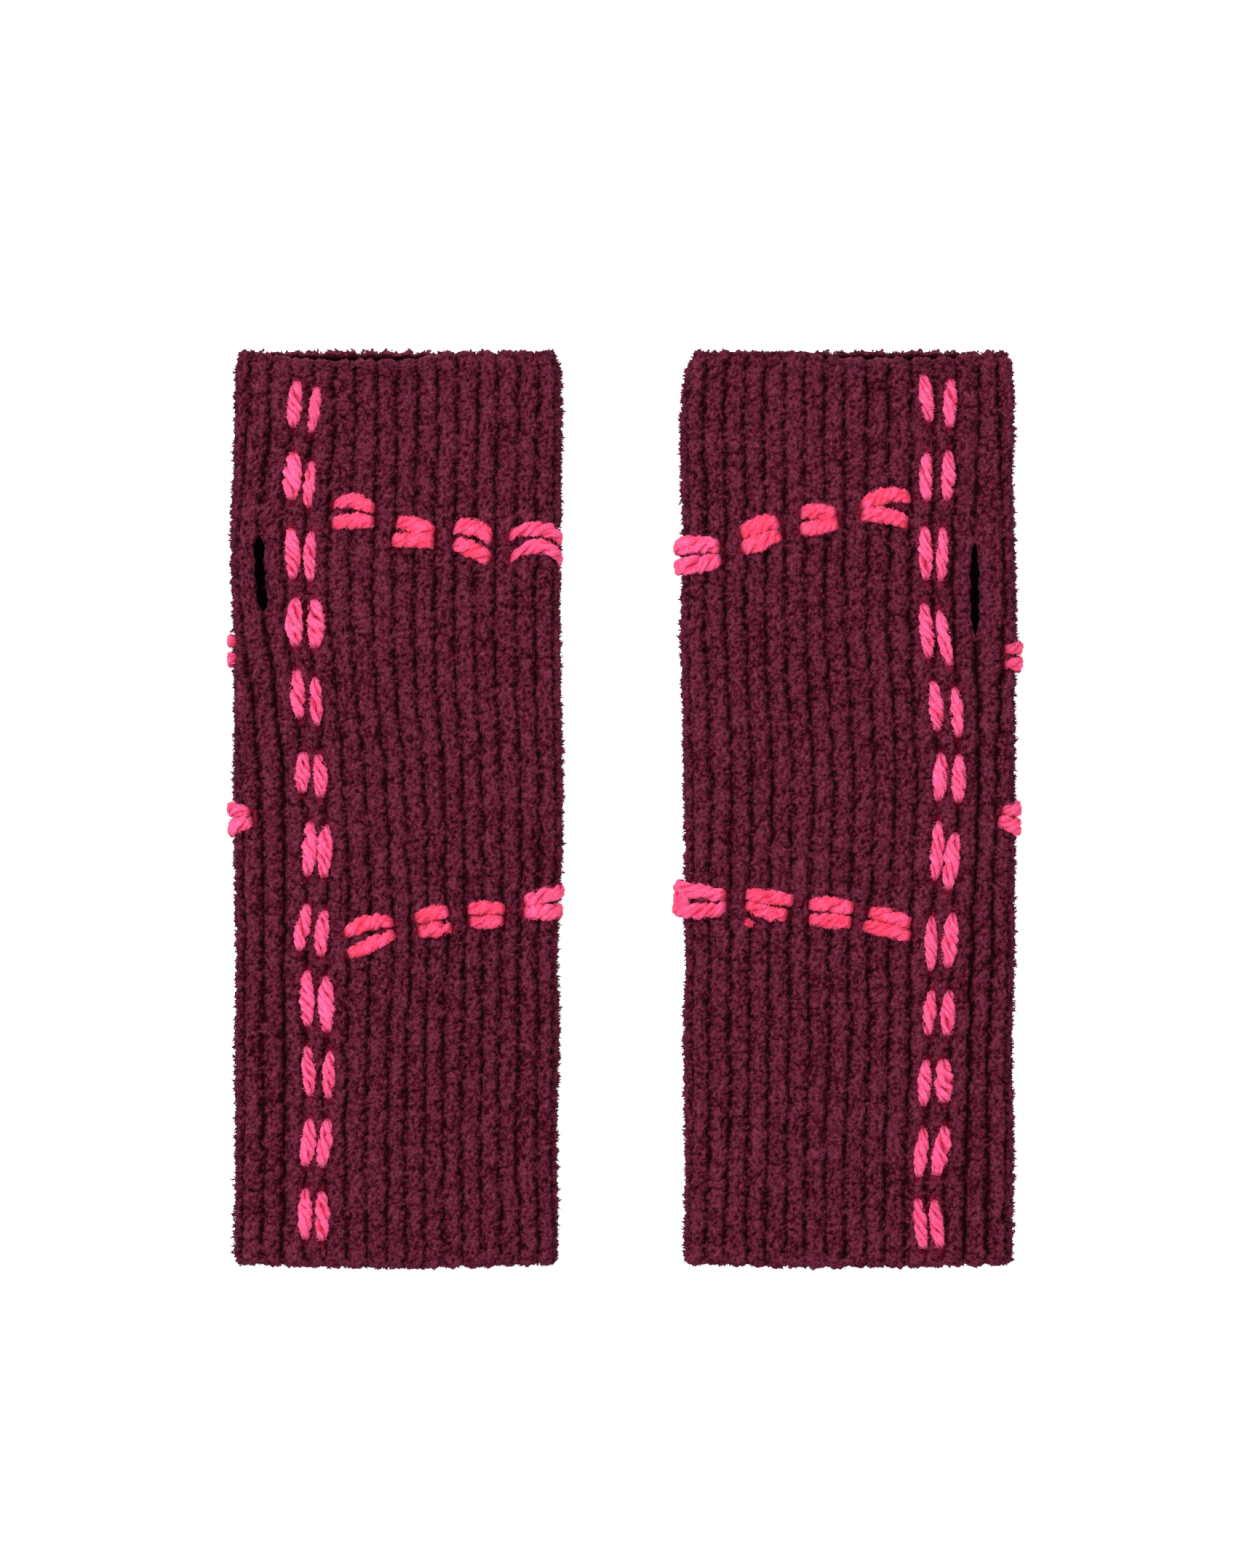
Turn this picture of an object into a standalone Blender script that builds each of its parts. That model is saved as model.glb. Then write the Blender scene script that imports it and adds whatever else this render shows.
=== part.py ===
"""A pair of knitted arm warmers, lying flat side by side.

Each warmer is one ribbed tube of thick knit cloth, open at the finger end and at
the wrist end, with a thumb slit near one edge. The back of the tube rests on the
surface and its front lies on the back. Thick yarn is sewn on in double running
stitches: one long line down the front and two cross rows that go round the fold.

Lengths are in millimetres until a point is placed. On each warmer, "across" is
measured from its own centre line, negative towards the thumb edge and positive
towards the far edge. "Reach" is the same distance measured along the cloth, so it
goes on round the folds. y runs from the wrist end, below zero, to the finger end.
"""
import math
from collections import namedtuple

import bmesh
import bpy
import numpy as np
from mathutils import Vector

MM = 0.001

# The cloth: two walls with a narrow hollow between them.
BACK_WALL = 3.0
FRONT_WALL = 3.6
SIDE_WALL = 3.4
FINGER_END = 139.2
WRIST_END = -138.8
WRIST_BOW = 1.4
WRIST_BOW_HALF = 48.0
HEM_CHAMFER = 0.9
HEM_CORNER = 3.0
HEM_BAND = 5.0
HEM_RIB_SHARE = 0.45

# The back rim reaches past the front rim over this stretch of the finger end.
RIM_STEP = 2.2
RIM_STEP_ACROSS = -12.0
RIM_STEP_HALF = 25.0

# Ribs run from hem to hem. They are counted from the seam, which is valley 0.
RIB_DEPTH = 1.5
RIB_SHOULDER = 0.28
SEAM_DEPTH = 2.1
FIRST_RIB = -3.5
LAST_RIB = 15.5
RING_STEP = 12.0
UNDERSIDE_COLUMNS = (25.0, 0.0, -25.0)
LINING_COLUMNS = 5
LINING_END = 2.5
LINING_STEP = 36.0

# The sewn yarn.
YARN_GAP = 0.35
YARN_HEIGHT = 2.4
YARN_WIDTH = 4.3
YARN_TIP = 0.3
YARN_SWELL = 0.7
YARN_SIDES = 6
YARN_OVERLAP = 0.5
EDGE_YARN_HEIGHT = 1.6
FOLD_REACH = 40.0

# The slit is cut through the front wall alone.
SLIT_WIDTH = 2.4
SLIT_SIDES = 12
CUT_MARGIN = 2.0

Row = namedtuple("Row", "y thumb_edge seam middle far_edge hollow")
Slit = namedtuple("Slit", "y_finger y_wrist across_finger across_wrist")
LongStitch = namedtuple("LongStitch", "y across apart slip length lean fan joined")
CrossStitch = namedtuple("CrossStitch", "across y apart length rise fan bow")
EdgeStitch = namedtuple("EdgeStitch", "y reach length lean")
Strand = namedtuple("Strand", "reach y length heading bow width height")
Warmer = namedtuple("Warmer", "name centre facing middle_rib rows slit long_line upper_row lower_row edge_bits")

LEFT_ROWS = (
    Row(134.0, -49.4, -38.4, -5.8, 50.0, 2.1),
    Row(118.0, -49.8, -38.6, -5.9, 50.3, 1.3),
    Row(92.0, -50.4, -41.2, -6.5, 50.0, 1.0),
    Row(80.0, -50.6, -41.8, -6.9, 50.0, 1.2),
    Row(60.0, -49.9, -40.4, -7.3, 49.8, 1.2),
    Row(38.0, -49.9, -37.3, -6.2, 50.0, 0.8),
    Row(11.0, -49.7, -34.9, -3.5, 50.6, 0.7),
    Row(-15.0, -49.5, -34.2, -2.2, 50.4, 0.7),
    Row(-42.0, -48.9, -34.2, -1.2, 49.0, 0.7),
    Row(-68.0, -49.3, -34.2, -2.4, 49.6, 0.7),
    Row(-95.0, -49.1, -34.2, -2.8, 48.9, 0.9),
    Row(-134.0, -49.4, -34.2, -2.8, 49.2, 1.8),
)
RIGHT_ROWS = (
    Row(134.0, -49.8, -39.2, 1.6, 50.0, 2.1),
    Row(118.0, -50.8, -39.2, 1.5, 51.5, 1.3),
    Row(99.0, -50.1, -38.8, 1.3, 51.1, 1.0),
    Row(80.0, -50.6, -38.2, 1.2, 50.7, 1.2),
    Row(56.0, -51.1, -38.4, 1.0, 51.3, 1.2),
    Row(33.0, -51.0, -39.2, -0.4, 50.9, 0.8),
    Row(8.0, -50.8, -39.5, -1.7, 50.3, 0.7),
    Row(-18.0, -50.6, -38.6, -0.6, 50.1, 0.7),
    Row(-46.0, -50.5, -37.4, 0.4, 49.9, 0.7),
    Row(-72.0, -49.8, -36.6, -0.2, 50.4, 0.7),
    Row(-99.0, -50.2, -35.8, 1.2, 49.9, 0.9),
    Row(-134.0, -49.8, -35.2, 1.4, 50.2, 1.8),
)
LEFT_LONG_LINE = (
    LongStitch(122.0, -27.8, 5.7, -1.7, 14.0, -7, -1, False),
    LongStitch(99.7, -28.8, 5.1, -2.6, 13.8, -5, -1, True),
    LongStitch(77.0, -28.8, 5.1, -0.8, 15.2, 1, -2, True),
    LongStitch(56.3, -27.6, 5.1, -0.4, 14.2, 0, 0, True),
    LongStitch(33.5, -27.0, 5.1, -2.2, 14.4, 3, 0, True),
    LongStitch(10.3, -25.9, 5.0, -1.1, 13.0, 0, 3, True),
    LongStitch(-12.8, -24.1, 4.9, -0.7, 15.9, -3, 0, True),
    LongStitch(-37.2, -25.3, 5.1, -1.8, 14.0, -8, 3, True),
    LongStitch(-58.8, -24.0, 5.7, -1.7, 17.0, 1, 0, False),
    LongStitch(-80.6, -23.5, 6.5, -1.1, 14.7, 0, -3, False),
    LongStitch(-101.8, -24.4, 5.1, -0.3, 14.8, -7, -1, True),
    LongStitch(-123.7, -25.0, 4.9, -0.7, 15.0, 0, 0, True),
)
RIGHT_LONG_LINE = (
    LongStitch(123.8, -27.0, 7.3, 1.5, 14.7, -3, -5, False),
    LongStitch(100.9, -26.7, 6.3, -0.4, 14.8, 1, -1, False),
    LongStitch(77.3, -25.6, 5.1, 0.4, 16.3, 0, -2, True),
    LongStitch(52.8, -26.1, 5.1, 2.3, 16.7, -8, 2, True),
    LongStitch(30.1, -29.3, 6.5, 1.9, 14.9, -5, -1, False),
    LongStitch(9.2, -30.3, 5.9, 0.5, 14.8, 2, 1, False),
    LongStitch(-14.6, -28.8, 4.3, 3.3, 17.5, 6, -2, True),
    LongStitch(-40.7, -27.8, 5.1, -1.0, 16.7, 3, -2, True),
    LongStitch(-62.3, -27.3, 5.6, 0.1, 13.6, 4, 1, False),
    LongStitch(-83.3, -26.0, 5.1, -0.6, 13.4, 1, 3, True),
    LongStitch(-104.5, -24.7, 5.1, -0.6, 14.7, 9, -2, True),
    LongStitch(-126.4, -24.2, 5.0, 0.1, 14.7, -7, 0, True),
)
LEFT_UPPER_ROW = (
    CrossStitch(-13.0, 89.0, 4.8, 12.0, -4, 4, 1.8),
    CrossStitch(5.4, 83.2, 4.3, 12.4, -9, 6, 0.7),
    CrossStitch(23.2, 80.8, 5.0, 12.1, -20, -4, 1.2),
    CrossStitch(43.6, 78.0, 5.1, 18.0, -6, 0, 3.6),
)
LEFT_LOWER_ROW = (
    CrossStitch(-8.0, -38.8, 4.9, 15.6, 19, 5, 0.8),
    CrossStitch(11.3, -34.6, 4.4, 10.4, 10, -2, 0.2),
    CrossStitch(27.5, -32.5, 3.8, 10.9, 2, 2, 0.2),
    CrossStitch(46.0, -29.2, 4.6, 14.6, 8, -5, 0.5),
)
RIGHT_UPPER_ROW = (
    CrossStitch(-11.0, 90.7, 5.0, 14.9, -5, 4, 2.0),
    CrossStitch(9.2, 87.5, 4.4, 11.5, -6, -10, 0.3),
    CrossStitch(27.0, 83.3, 4.3, 12.5, -20, -3, 0.4),
    CrossStitch(46.6, 76.6, 4.9, 14.6, -7, -4, 0.5),
)
RIGHT_LOWER_ROW = (
    CrossStitch(-12.0, -35.3, 4.0, 14.0, 15, -2, 0.4),
    CrossStitch(5.6, -32.0, 4.5, 13.4, 5, 0, 0.2),
    CrossStitch(24.7, -29.2, 3.9, 13.9, 11, 3, 0.0),
    CrossStitch(46.0, -27.3, 5.1, 16.0, 6, -4, -1.2),
)
LEFT_EDGE_BITS = (
    EdgeStitch(47.6, -52.2, 10.0, 8),
    EdgeStitch(-3.1, -50.6, 9.0, -38),
)
RIGHT_EDGE_BITS = (
    EdgeStitch(46.2, -53.6, 8.0, -8),
    EdgeStitch(-2.7, -52.0, 9.0, -35),
)
WARMERS = (
    Warmer("left", -69.5, 1, 5, LEFT_ROWS, Slit(82.4, 60.4, -42.0, -40.4),
           LEFT_LONG_LINE, LEFT_UPPER_ROW, LEFT_LOWER_ROW, LEFT_EDGE_BITS),
    Warmer("right", 68.2, -1, 6, RIGHT_ROWS, Slit(79.6, 54.0, -38.2, -38.4),
           RIGHT_LONG_LINE, RIGHT_UPPER_ROW, RIGHT_LOWER_ROW, RIGHT_EDGE_BITS),
)

SHARP_ANGLE = math.radians(40)
KNIT_COLOUR = (0.091, 0.0117, 0.0262, 1.0)
KNIT_ROUGHNESS = 0.95
YARN_COLOUR = (0.922, 0.0908, 0.227, 1.0)
YARN_ROUGHNESS = 0.8


def clear_scene():
    for item in list(bpy.data.objects):
        bpy.data.objects.remove(item, do_unlink=True)


def make_material(name, colour, roughness):
    material = bpy.data.materials.new(name)
    material.use_nodes = True
    shader = material.node_tree.nodes["Principled BSDF"]
    shader.inputs["Base Color"].default_value = colour
    shader.inputs["Roughness"].default_value = roughness
    shader.inputs["Metallic"].default_value = 0.0
    return material


def smooth_column(rows, column, y):
    """Read one column of a warmer's table at y, on a smooth curve through its rows."""
    stations = [row.y for row in rows][::-1]
    values = [getattr(row, column) for row in rows][::-1]
    slopes = np.gradient(values, stations)
    if y <= stations[0]:
        return values[0]
    if y >= stations[-1]:
        return values[-1]
    i = int(np.searchsorted(stations, y)) - 1
    span = stations[i + 1] - stations[i]
    t = (y - stations[i]) / span
    start = (1 + 2 * t) * (1 - t) ** 2 * values[i] + t * (1 - t) ** 2 * span * slopes[i]
    end = t * t * (3 - 2 * t) * values[i + 1] - t * t * (1 - t) * span * slopes[i + 1]
    return float(start + end)


def corner_inset(y):
    """How far the edges draw in at the rounded corners of the hems."""
    from_end = min(FINGER_END - y, y - WRIST_END)
    if from_end >= HEM_CORNER:
        return 0.0
    rise = 1 - max(from_end, 0.0) / HEM_CORNER
    return HEM_CORNER * (1 - math.sqrt(1 - rise * rise))


class Section:
    """The tube's outline at one y, level with the rib crests."""

    def __init__(self, warmer, y):
        inset = corner_inset(y)
        self.warmer = warmer
        self.y = y
        self.hollow = smooth_column(warmer.rows, "hollow", y)
        self.height = BACK_WALL + self.hollow + FRONT_WALL
        self.radius = self.height / 2
        self.thumb_edge = smooth_column(warmer.rows, "thumb_edge", y) + inset
        self.far_edge = smooth_column(warmer.rows, "far_edge", y) - inset
        self.flat_thumb = self.thumb_edge + self.radius
        self.flat_far = self.far_edge - self.radius
        self.under_thumb = self.flat_thumb - math.pi * self.radius
        self.under_far = self.flat_far + math.pi * self.radius

    def point(self, reach, out):
        """Across and height of the point at a reach along the cloth, moved out of it."""
        if reach > self.flat_far:
            turn = (reach - self.flat_far) / self.radius
            across = self.flat_far + (self.radius + out) * math.sin(turn)
        elif reach < self.flat_thumb:
            turn = (self.flat_thumb - reach) / self.radius
            across = self.flat_thumb - (self.radius + out) * math.sin(turn)
        else:
            turn = 0.0
            across = reach
        return across, self.radius + (self.radius + out) * math.cos(turn)

    def rib_reach(self, rib):
        """Where a rib line lies, its valley for a whole number, along the cloth."""
        warmer = self.warmer
        seam = smooth_column(warmer.rows, "seam", self.y)
        middle = smooth_column(warmer.rows, "middle", self.y)
        counts = (FIRST_RIB, 0, warmer.middle_rib, LAST_RIB)
        return float(np.interp(rib, counts, (self.under_thumb, seam, middle, self.under_far)))


def place(warmer, across, y, height):
    return Vector((warmer.centre + warmer.facing * across, y, height)) * MM


def rib_columns():
    """Rib count and depth share of each column of points, three to a rib."""
    columns = [(FIRST_RIB, 0.0)]
    for valley in range(math.ceil(FIRST_RIB), math.floor(LAST_RIB) + 1):
        columns += [(valley - RIB_SHOULDER, 0.0), (valley, 1.0), (valley + RIB_SHOULDER, 0.0)]
    columns.append((LAST_RIB, 0.0))
    return columns


def hem_shift(y, across, height_share):
    """How far a point near a hem moves along y, so that the rims lie as they do on cloth."""
    if y > 0:
        near = max(0.0, 1 - (FINGER_END - y) / (2 * HEM_BAND))
        window = math.exp(-((across - RIM_STEP_ACROSS) / RIM_STEP_HALF) ** 4)
        return -near * RIM_STEP * window * height_share
    near = max(0.0, 1 - (y - WRIST_END) / (2 * HEM_BAND))
    return -near * WRIST_BOW * max(0.0, 1 - (across / WRIST_BOW_HALF) ** 2)


def shift_ring(section, ring):
    """Give each point of a ring its y, moved where the rims ask for it."""
    points = []
    for across, height in ring:
        y = section.y + hem_shift(section.y, across, height / section.height)
        points.append((across, y, height))
    return points


def rib_depth(warmer, rib, y):
    """Depth of a valley: deepest on the seam below the slit, shallow in the hem bands."""
    from_end = min(FINGER_END - y, y - WRIST_END)
    fade = HEM_RIB_SHARE + (1 - HEM_RIB_SHARE) * min(1.0, max(from_end, 0.0) / HEM_BAND)
    if rib == 0 and y < warmer.slit.y_wrist:
        return SEAM_DEPTH * fade
    return RIB_DEPTH * fade


def outer_ring(warmer, y, chamfer):
    """Points of the ribbed outside at y, from under the thumb edge round to it again."""
    section = Section(warmer, y)
    ring = []
    for rib, share in rib_columns():
        sink = share * rib_depth(warmer, rib, y) + chamfer
        ring.append(section.point(section.rib_reach(rib), -sink))
    ring += [(across, chamfer) for across in UNDERSIDE_COLUMNS]
    return shift_ring(section, ring)


def lining_ring(warmer, y):
    """Points of the plain inside at y, from the thumb fold over the top and back below."""
    section = Section(warmer, y)
    low = section.thumb_edge + SIDE_WALL
    high = section.far_edge - SIDE_WALL
    row = np.linspace(low + LINING_END, high - LINING_END, LINING_COLUMNS)
    ceiling = BACK_WALL + section.hollow
    middle = BACK_WALL + section.hollow / 2
    ring = [(low, middle)] + [(across, ceiling) for across in row]
    ring += [(high, middle)] + [(across, BACK_WALL) for across in row[::-1]]
    return shift_ring(section, ring)


def ring_stations():
    """y and chamfer of each outer ring, closer together in the hem bands."""
    bands = [(FINGER_END, HEM_CHAMFER), (FINGER_END - HEM_CHAMFER, 0.0), (FINGER_END - HEM_BAND, 0.0)]
    count = round((FINGER_END - WRIST_END - 2 * HEM_BAND) / RING_STEP)
    inside = np.linspace(FINGER_END - HEM_BAND, WRIST_END + HEM_BAND, count + 1)[1:-1]
    bands += [(float(y), 0.0) for y in inside]
    bands += [(WRIST_END + HEM_BAND, 0.0), (WRIST_END + HEM_CHAMFER, 0.0), (WRIST_END, HEM_CHAMFER)]
    return bands


def lining_stations():
    count = round((FINGER_END - WRIST_END) / LINING_STEP)
    return [float(y) for y in np.linspace(FINGER_END, WRIST_END, count + 1)]


def add_rings(bm, warmer, rings):
    return [[bm.verts.new(place(warmer, *point)) for point in ring] for ring in rings]


def skin_rings(bm, rings):
    """Join each ring of points to the next with two triangles a step."""
    for ring, after in zip(rings, rings[1:]):
        for i in range(len(ring)):
            j = (i + 1) % len(ring)
            bm.faces.new((ring[i], ring[j], after[j]))
            bm.faces.new((ring[i], after[j], after[i]))


def loop_share(vert, warmer, section):
    """Share of the way round a rim: 0 at the thumb fold, 0.5 at the far fold."""
    across = (vert.co.x / MM - warmer.centre) * warmer.facing
    span = section.far_edge - section.thumb_edge
    share = min(max((across - section.thumb_edge) / span, 0.0), 1.0) / 2
    on_top = vert.co.z / MM > BACK_WALL + section.hollow / 2
    return share if on_top else 1.0 - share


def zip_rim(bm, warmer, y, outer, inner):
    """Fill the rim between an outer ring and an inner ring that has fewer points."""
    section = Section(warmer, y)
    loops = []
    for ring in (outer, inner):
        shares = [loop_share(vert, warmer, section) for vert in ring]
        first = shares.index(min(shares))
        order = ring[first:] + ring[:first]
        loops.append((order + order[:1], shares[first:] + shares[:first] + [1.0 + shares[first]]))
    (outside, outside_share), (inside, inside_share) = loops
    i = 0
    j = 0
    while i < len(outside) - 1 or j < len(inside) - 1:
        outside_next = outside_share[i + 1] if i < len(outside) - 1 else math.inf
        inside_next = inside_share[j + 1] if j < len(inside) - 1 else math.inf
        if outside_next <= inside_next:
            bm.faces.new((outside[i], outside[i + 1], inside[j]))
            i += 1
        else:
            bm.faces.new((outside[i], inside[j + 1], inside[j]))
            j += 1


def object_from(bm, name, material, parent):
    """Turn a built mesh into a named, smooth-shaded object with its faces pointing out."""
    bmesh.ops.recalc_face_normals(bm, faces=bm.faces)
    mesh = bpy.data.meshes.new(name)
    bm.to_mesh(mesh)
    bm.free()
    mesh.materials.append(material)
    mesh.shade_smooth()
    mesh.set_sharp_from_angle(angle=SHARP_ANGLE)
    item = bpy.data.objects.new(name, mesh)
    item.parent = parent
    bpy.context.scene.collection.objects.link(item)
    return item


def make_helper(item):
    item.hide_render = True
    item.display_type = "WIRE"
    return item


def add_boolean(item, other, operation):
    modifier = item.modifiers.new(operation.lower(), "BOOLEAN")
    modifier.operation = operation
    modifier.solver = "EXACT"
    modifier.object = other


def make_slit_cutter(warmer, material, parent):
    """A slot-shaped prism, round at both ends, that goes from the hollow up past the ribs."""
    slit = warmer.slit
    section = Section(warmer, (slit.y_finger + slit.y_wrist) / 2)
    finger = Vector((slit.across_finger, slit.y_finger - SLIT_WIDTH / 2))
    wrist = Vector((slit.across_wrist, slit.y_wrist + SLIT_WIDTH / 2))
    floor = BACK_WALL + section.hollow / 2
    bm = bmesh.new()
    rings = []
    for height in (floor, section.height + CUT_MARGIN):
        ring = []
        for i in range(SLIT_SIDES):
            angle = 2 * math.pi * (i + 0.5) / SLIT_SIDES
            end = finger if math.sin(angle) > 0 else wrist
            across = end.x + SLIT_WIDTH / 2 * math.cos(angle)
            ring.append((across, end.y + SLIT_WIDTH / 2 * math.sin(angle), height))
        rings.append(ring)
    rings = add_rings(bm, warmer, rings)
    skin_rings(bm, rings)
    for ring in rings:
        bm.faces.new(ring)
    return make_helper(object_from(bm, warmer.name + "_slit_cutter", material, parent))


def make_knit_tube(warmer, material, parent):
    """The cloth: ribbed outside, plain inside, a rim at each end and the thumb slit."""
    bm = bmesh.new()
    outer = add_rings(bm, warmer, [outer_ring(warmer, y, chamfer) for y, chamfer in ring_stations()])
    inner = add_rings(bm, warmer, [lining_ring(warmer, y) for y in lining_stations()])
    skin_rings(bm, outer)
    skin_rings(bm, inner)
    zip_rim(bm, warmer, FINGER_END, outer[0], inner[0])
    zip_rim(bm, warmer, WRIST_END, outer[-1], inner[-1])
    tube = object_from(bm, warmer.name + "_knit_tube", material, parent)
    add_boolean(tube, make_slit_cutter(warmer, material, parent), "DIFFERENCE")
    return tube


def strand_point(warmer, strand, along, angle):
    """A point on a strand: along runs from 0 to 1 and angle goes round its section."""
    heading = math.radians(strand.heading)
    swell = math.sin(math.pi * along) ** YARN_SWELL
    fullness = YARN_TIP + (1 - YARN_TIP) * swell
    forward = (along - 0.5) * strand.length
    sideways = strand.bow * (1 - (2 * along - 1) ** 2) + fullness * strand.width / 2 * math.cos(angle)
    reach = strand.reach + forward * math.cos(heading) - sideways * math.sin(heading)
    y = strand.y + forward * math.sin(heading) + sideways * math.cos(heading)
    out = YARN_GAP + fullness * strand.height / 2 * (1 + math.sin(angle))
    across, height = Section(warmer, y).point(reach, out)
    return across, y, height


def strand_rings(strand):
    """Where the rings of a strand lie. One that goes round a fold has more of them."""
    if abs(strand.reach) > FOLD_REACH:
        return (0.0, 0.14, 0.32, 0.5, 0.68, 0.86, 1.0)
    return (0.0, 0.22, 0.5, 0.78, 1.0)


def add_strand(warmer, strand, name, material, parent):
    bm = bmesh.new()
    rings = []
    for along in strand_rings(strand):
        angles = [2 * math.pi * i / YARN_SIDES for i in range(YARN_SIDES)]
        rings.append([strand_point(warmer, strand, along, angle) for angle in angles])
    rings = add_rings(bm, warmer, rings)
    skin_rings(bm, rings)
    for ring in (rings[0], rings[-1]):
        bm.faces.new(ring)
    return object_from(bm, name, material, parent)


def long_strands(stitch):
    """The two strands of one row of the long line, thumb side first."""
    lean = math.radians(stitch.lean)
    clear = stitch.apart * math.cos(lean) + stitch.slip * math.sin(lean)
    width = clear + YARN_OVERLAP if stitch.joined else YARN_WIDTH
    strands = []
    for side in (-0.5, 0.5):
        heading = 90 + stitch.lean + 2 * side * stitch.fan
        reach = stitch.across + side * stitch.apart
        y = stitch.y + side * stitch.slip
        strands.append(Strand(reach, y, stitch.length, heading, 0.0, width, YARN_HEIGHT))
    return strands


def cross_strands(stitch):
    """The two strands of one cross stitch, one above the other."""
    strands = []
    for side in (0.5, -0.5):
        heading = stitch.rise - 2 * side * stitch.fan
        y = stitch.y + side * stitch.apart
        width = stitch.apart + YARN_OVERLAP
        strands.append(Strand(stitch.across, y, stitch.length, heading, stitch.bow, width, YARN_HEIGHT))
    return strands


def make_joined_pair(warmer, strands, name, material, parent):
    """Two strands that touch are one solid."""
    item = add_strand(warmer, strands[0], name, material, parent)
    other = add_strand(warmer, strands[1], name + "_second", material, parent)
    add_boolean(item, make_helper(other), "UNION")
    return item


def make_long_line(warmer, material, parent):
    nodes = []
    for number, stitch in enumerate(warmer.long_line, 1):
        name = f"{warmer.name}_long_stitch_{number:02d}"
        strands = long_strands(stitch)
        if stitch.joined:
            nodes.append(make_joined_pair(warmer, strands, name, material, parent))
        else:
            nodes.append(add_strand(warmer, strands[0], name + "_thumb_side", material, parent))
            nodes.append(add_strand(warmer, strands[1], name + "_far_side", material, parent))
    return nodes


def make_cross_row(warmer, stitches, row_name, material, parent):
    nodes = []
    for number, stitch in enumerate(stitches, 1):
        name = f"{warmer.name}_{row_name}_stitch_{number}"
        nodes.append(make_joined_pair(warmer, cross_strands(stitch), name, material, parent))
    return nodes


def make_edge_bits(warmer, material, parent):
    """The ends of the cross rows where they come round the fold at the thumb edge."""
    nodes = []
    for bit, row_name in zip(warmer.edge_bits, ("upper", "lower")):
        strand = Strand(bit.reach, bit.y, bit.length, 90 + bit.lean, 0.0, YARN_WIDTH, EDGE_YARN_HEIGHT)
        nodes.append(add_strand(warmer, strand, f"{warmer.name}_{row_name}_edge_stitch", material, parent))
    return nodes


def centre_pair(parent, nodes):
    """Put the middle of the whole pair's box over the origin, with its underside at zero."""
    corners = [vert.co for node in nodes for vert in node.data.vertices]
    low = Vector([min(corner[axis] for corner in corners) for axis in range(3)])
    high = Vector([max(corner[axis] for corner in corners) for axis in range(3)])
    parent.location = (-(low.x + high.x) / 2, -(low.y + high.y) / 2, -low.z)


def main():
    clear_scene()
    knit = make_material("knit_cloth", KNIT_COLOUR, KNIT_ROUGHNESS)
    yarn = make_material("stitch_yarn", YARN_COLOUR, YARN_ROUGHNESS)
    pair = bpy.data.objects.new("arm_warmers", None)
    bpy.context.scene.collection.objects.link(pair)
    nodes = []
    for warmer in WARMERS:
        nodes.append(make_knit_tube(warmer, knit, pair))
        nodes += make_long_line(warmer, yarn, pair)
        nodes += make_cross_row(warmer, warmer.upper_row, "upper", yarn, pair)
        nodes += make_cross_row(warmer, warmer.lower_row, "lower", yarn, pair)
        nodes += make_edge_bits(warmer, yarn, pair)
    centre_pair(pair, nodes)


main()
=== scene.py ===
"""The looks of a pair of knitted arm warmers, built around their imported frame.

Lengths are in millimetres until a point is placed, as in the part's own source. On each
warmer, "across" is measured from its own centre line, negative towards the thumb edge.
"Reach" is the same distance measured along the cloth, so it goes on round the folds and
under the warmer. y runs from the wrist end, below zero, to the finger end. "Out" is the
distance from the level of the rib crests, out of the cloth.
"""
import math
from collections import namedtuple

import bpy
import numpy as np
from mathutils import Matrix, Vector


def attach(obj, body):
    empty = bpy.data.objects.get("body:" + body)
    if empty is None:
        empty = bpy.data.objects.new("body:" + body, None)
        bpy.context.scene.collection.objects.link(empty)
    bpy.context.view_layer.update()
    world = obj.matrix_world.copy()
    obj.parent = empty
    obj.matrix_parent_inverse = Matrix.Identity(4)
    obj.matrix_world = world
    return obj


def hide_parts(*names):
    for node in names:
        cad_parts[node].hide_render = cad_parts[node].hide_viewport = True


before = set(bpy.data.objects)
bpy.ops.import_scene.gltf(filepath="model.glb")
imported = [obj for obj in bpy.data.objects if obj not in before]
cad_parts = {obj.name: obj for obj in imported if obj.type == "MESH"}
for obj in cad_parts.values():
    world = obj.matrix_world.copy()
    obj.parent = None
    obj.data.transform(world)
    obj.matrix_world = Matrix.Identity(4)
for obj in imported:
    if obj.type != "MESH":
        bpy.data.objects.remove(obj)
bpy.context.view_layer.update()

MM = 0.001
SEED = 7

# The cloth's walls and ends, as the solids have them.
BACK_WALL = 3.0
FRONT_WALL = 3.6
SIDE_WALL = 3.4
FINGER_END = 139.2
WRIST_END = -138.8
WRIST_BOW = 1.4
WRIST_BOW_HALF = 48.0
HEM_BAND = 5.0
HEM_RIB_SHARE = 0.3
RIM_REACH = 1.0
RIM_STEP_ACROSS = -12.0
RIM_STEP_HALF = 25.0

# How far the solids lie from the middle of the pair's own box.
PAIR_SHIFT = (0.0, 0.5)

# Ribs are counted from the seam, which is valley 0, and close up round the warmer.
FIRST_RIB = -3.5
LAST_RIB = 15.5
RIBS_ROUND = 34
THUMB_SLIDE = 1.3
THUMB_SLIDE_Y = 72.0
THUMB_SLIDE_HALF = 45.0
VALLEY_DEPTH = 1.9
SEAM_DEPTH = 2.7
PANEL_DEEPER = 1.3
UNDER_DEPTH = 0.6
VALLEY_WIDTH = 0.75
SCALLOP = 0.75
CREST_DROP = 0.6
# Painted light along the hems and round the folds, where the cloth turns away from the lamps.
EDGE_PAINTED_LIGHT = 0.14
WANDER = 0.4
ZIGZAG = 0.5

# The nubs of the chenille yarn.
NUBS_ROUND = 118
NUB_LENGTH = 1.75
NUB_HEIGHT = 1.6
NUB_SPREAD = 0.55
NUB_DRIFT = 1.1
SMALL_NUBS_ROUND = 190
SMALL_NUB_LENGTH = 1.15
SMALL_NUB_HEIGHT = 0.4

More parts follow.
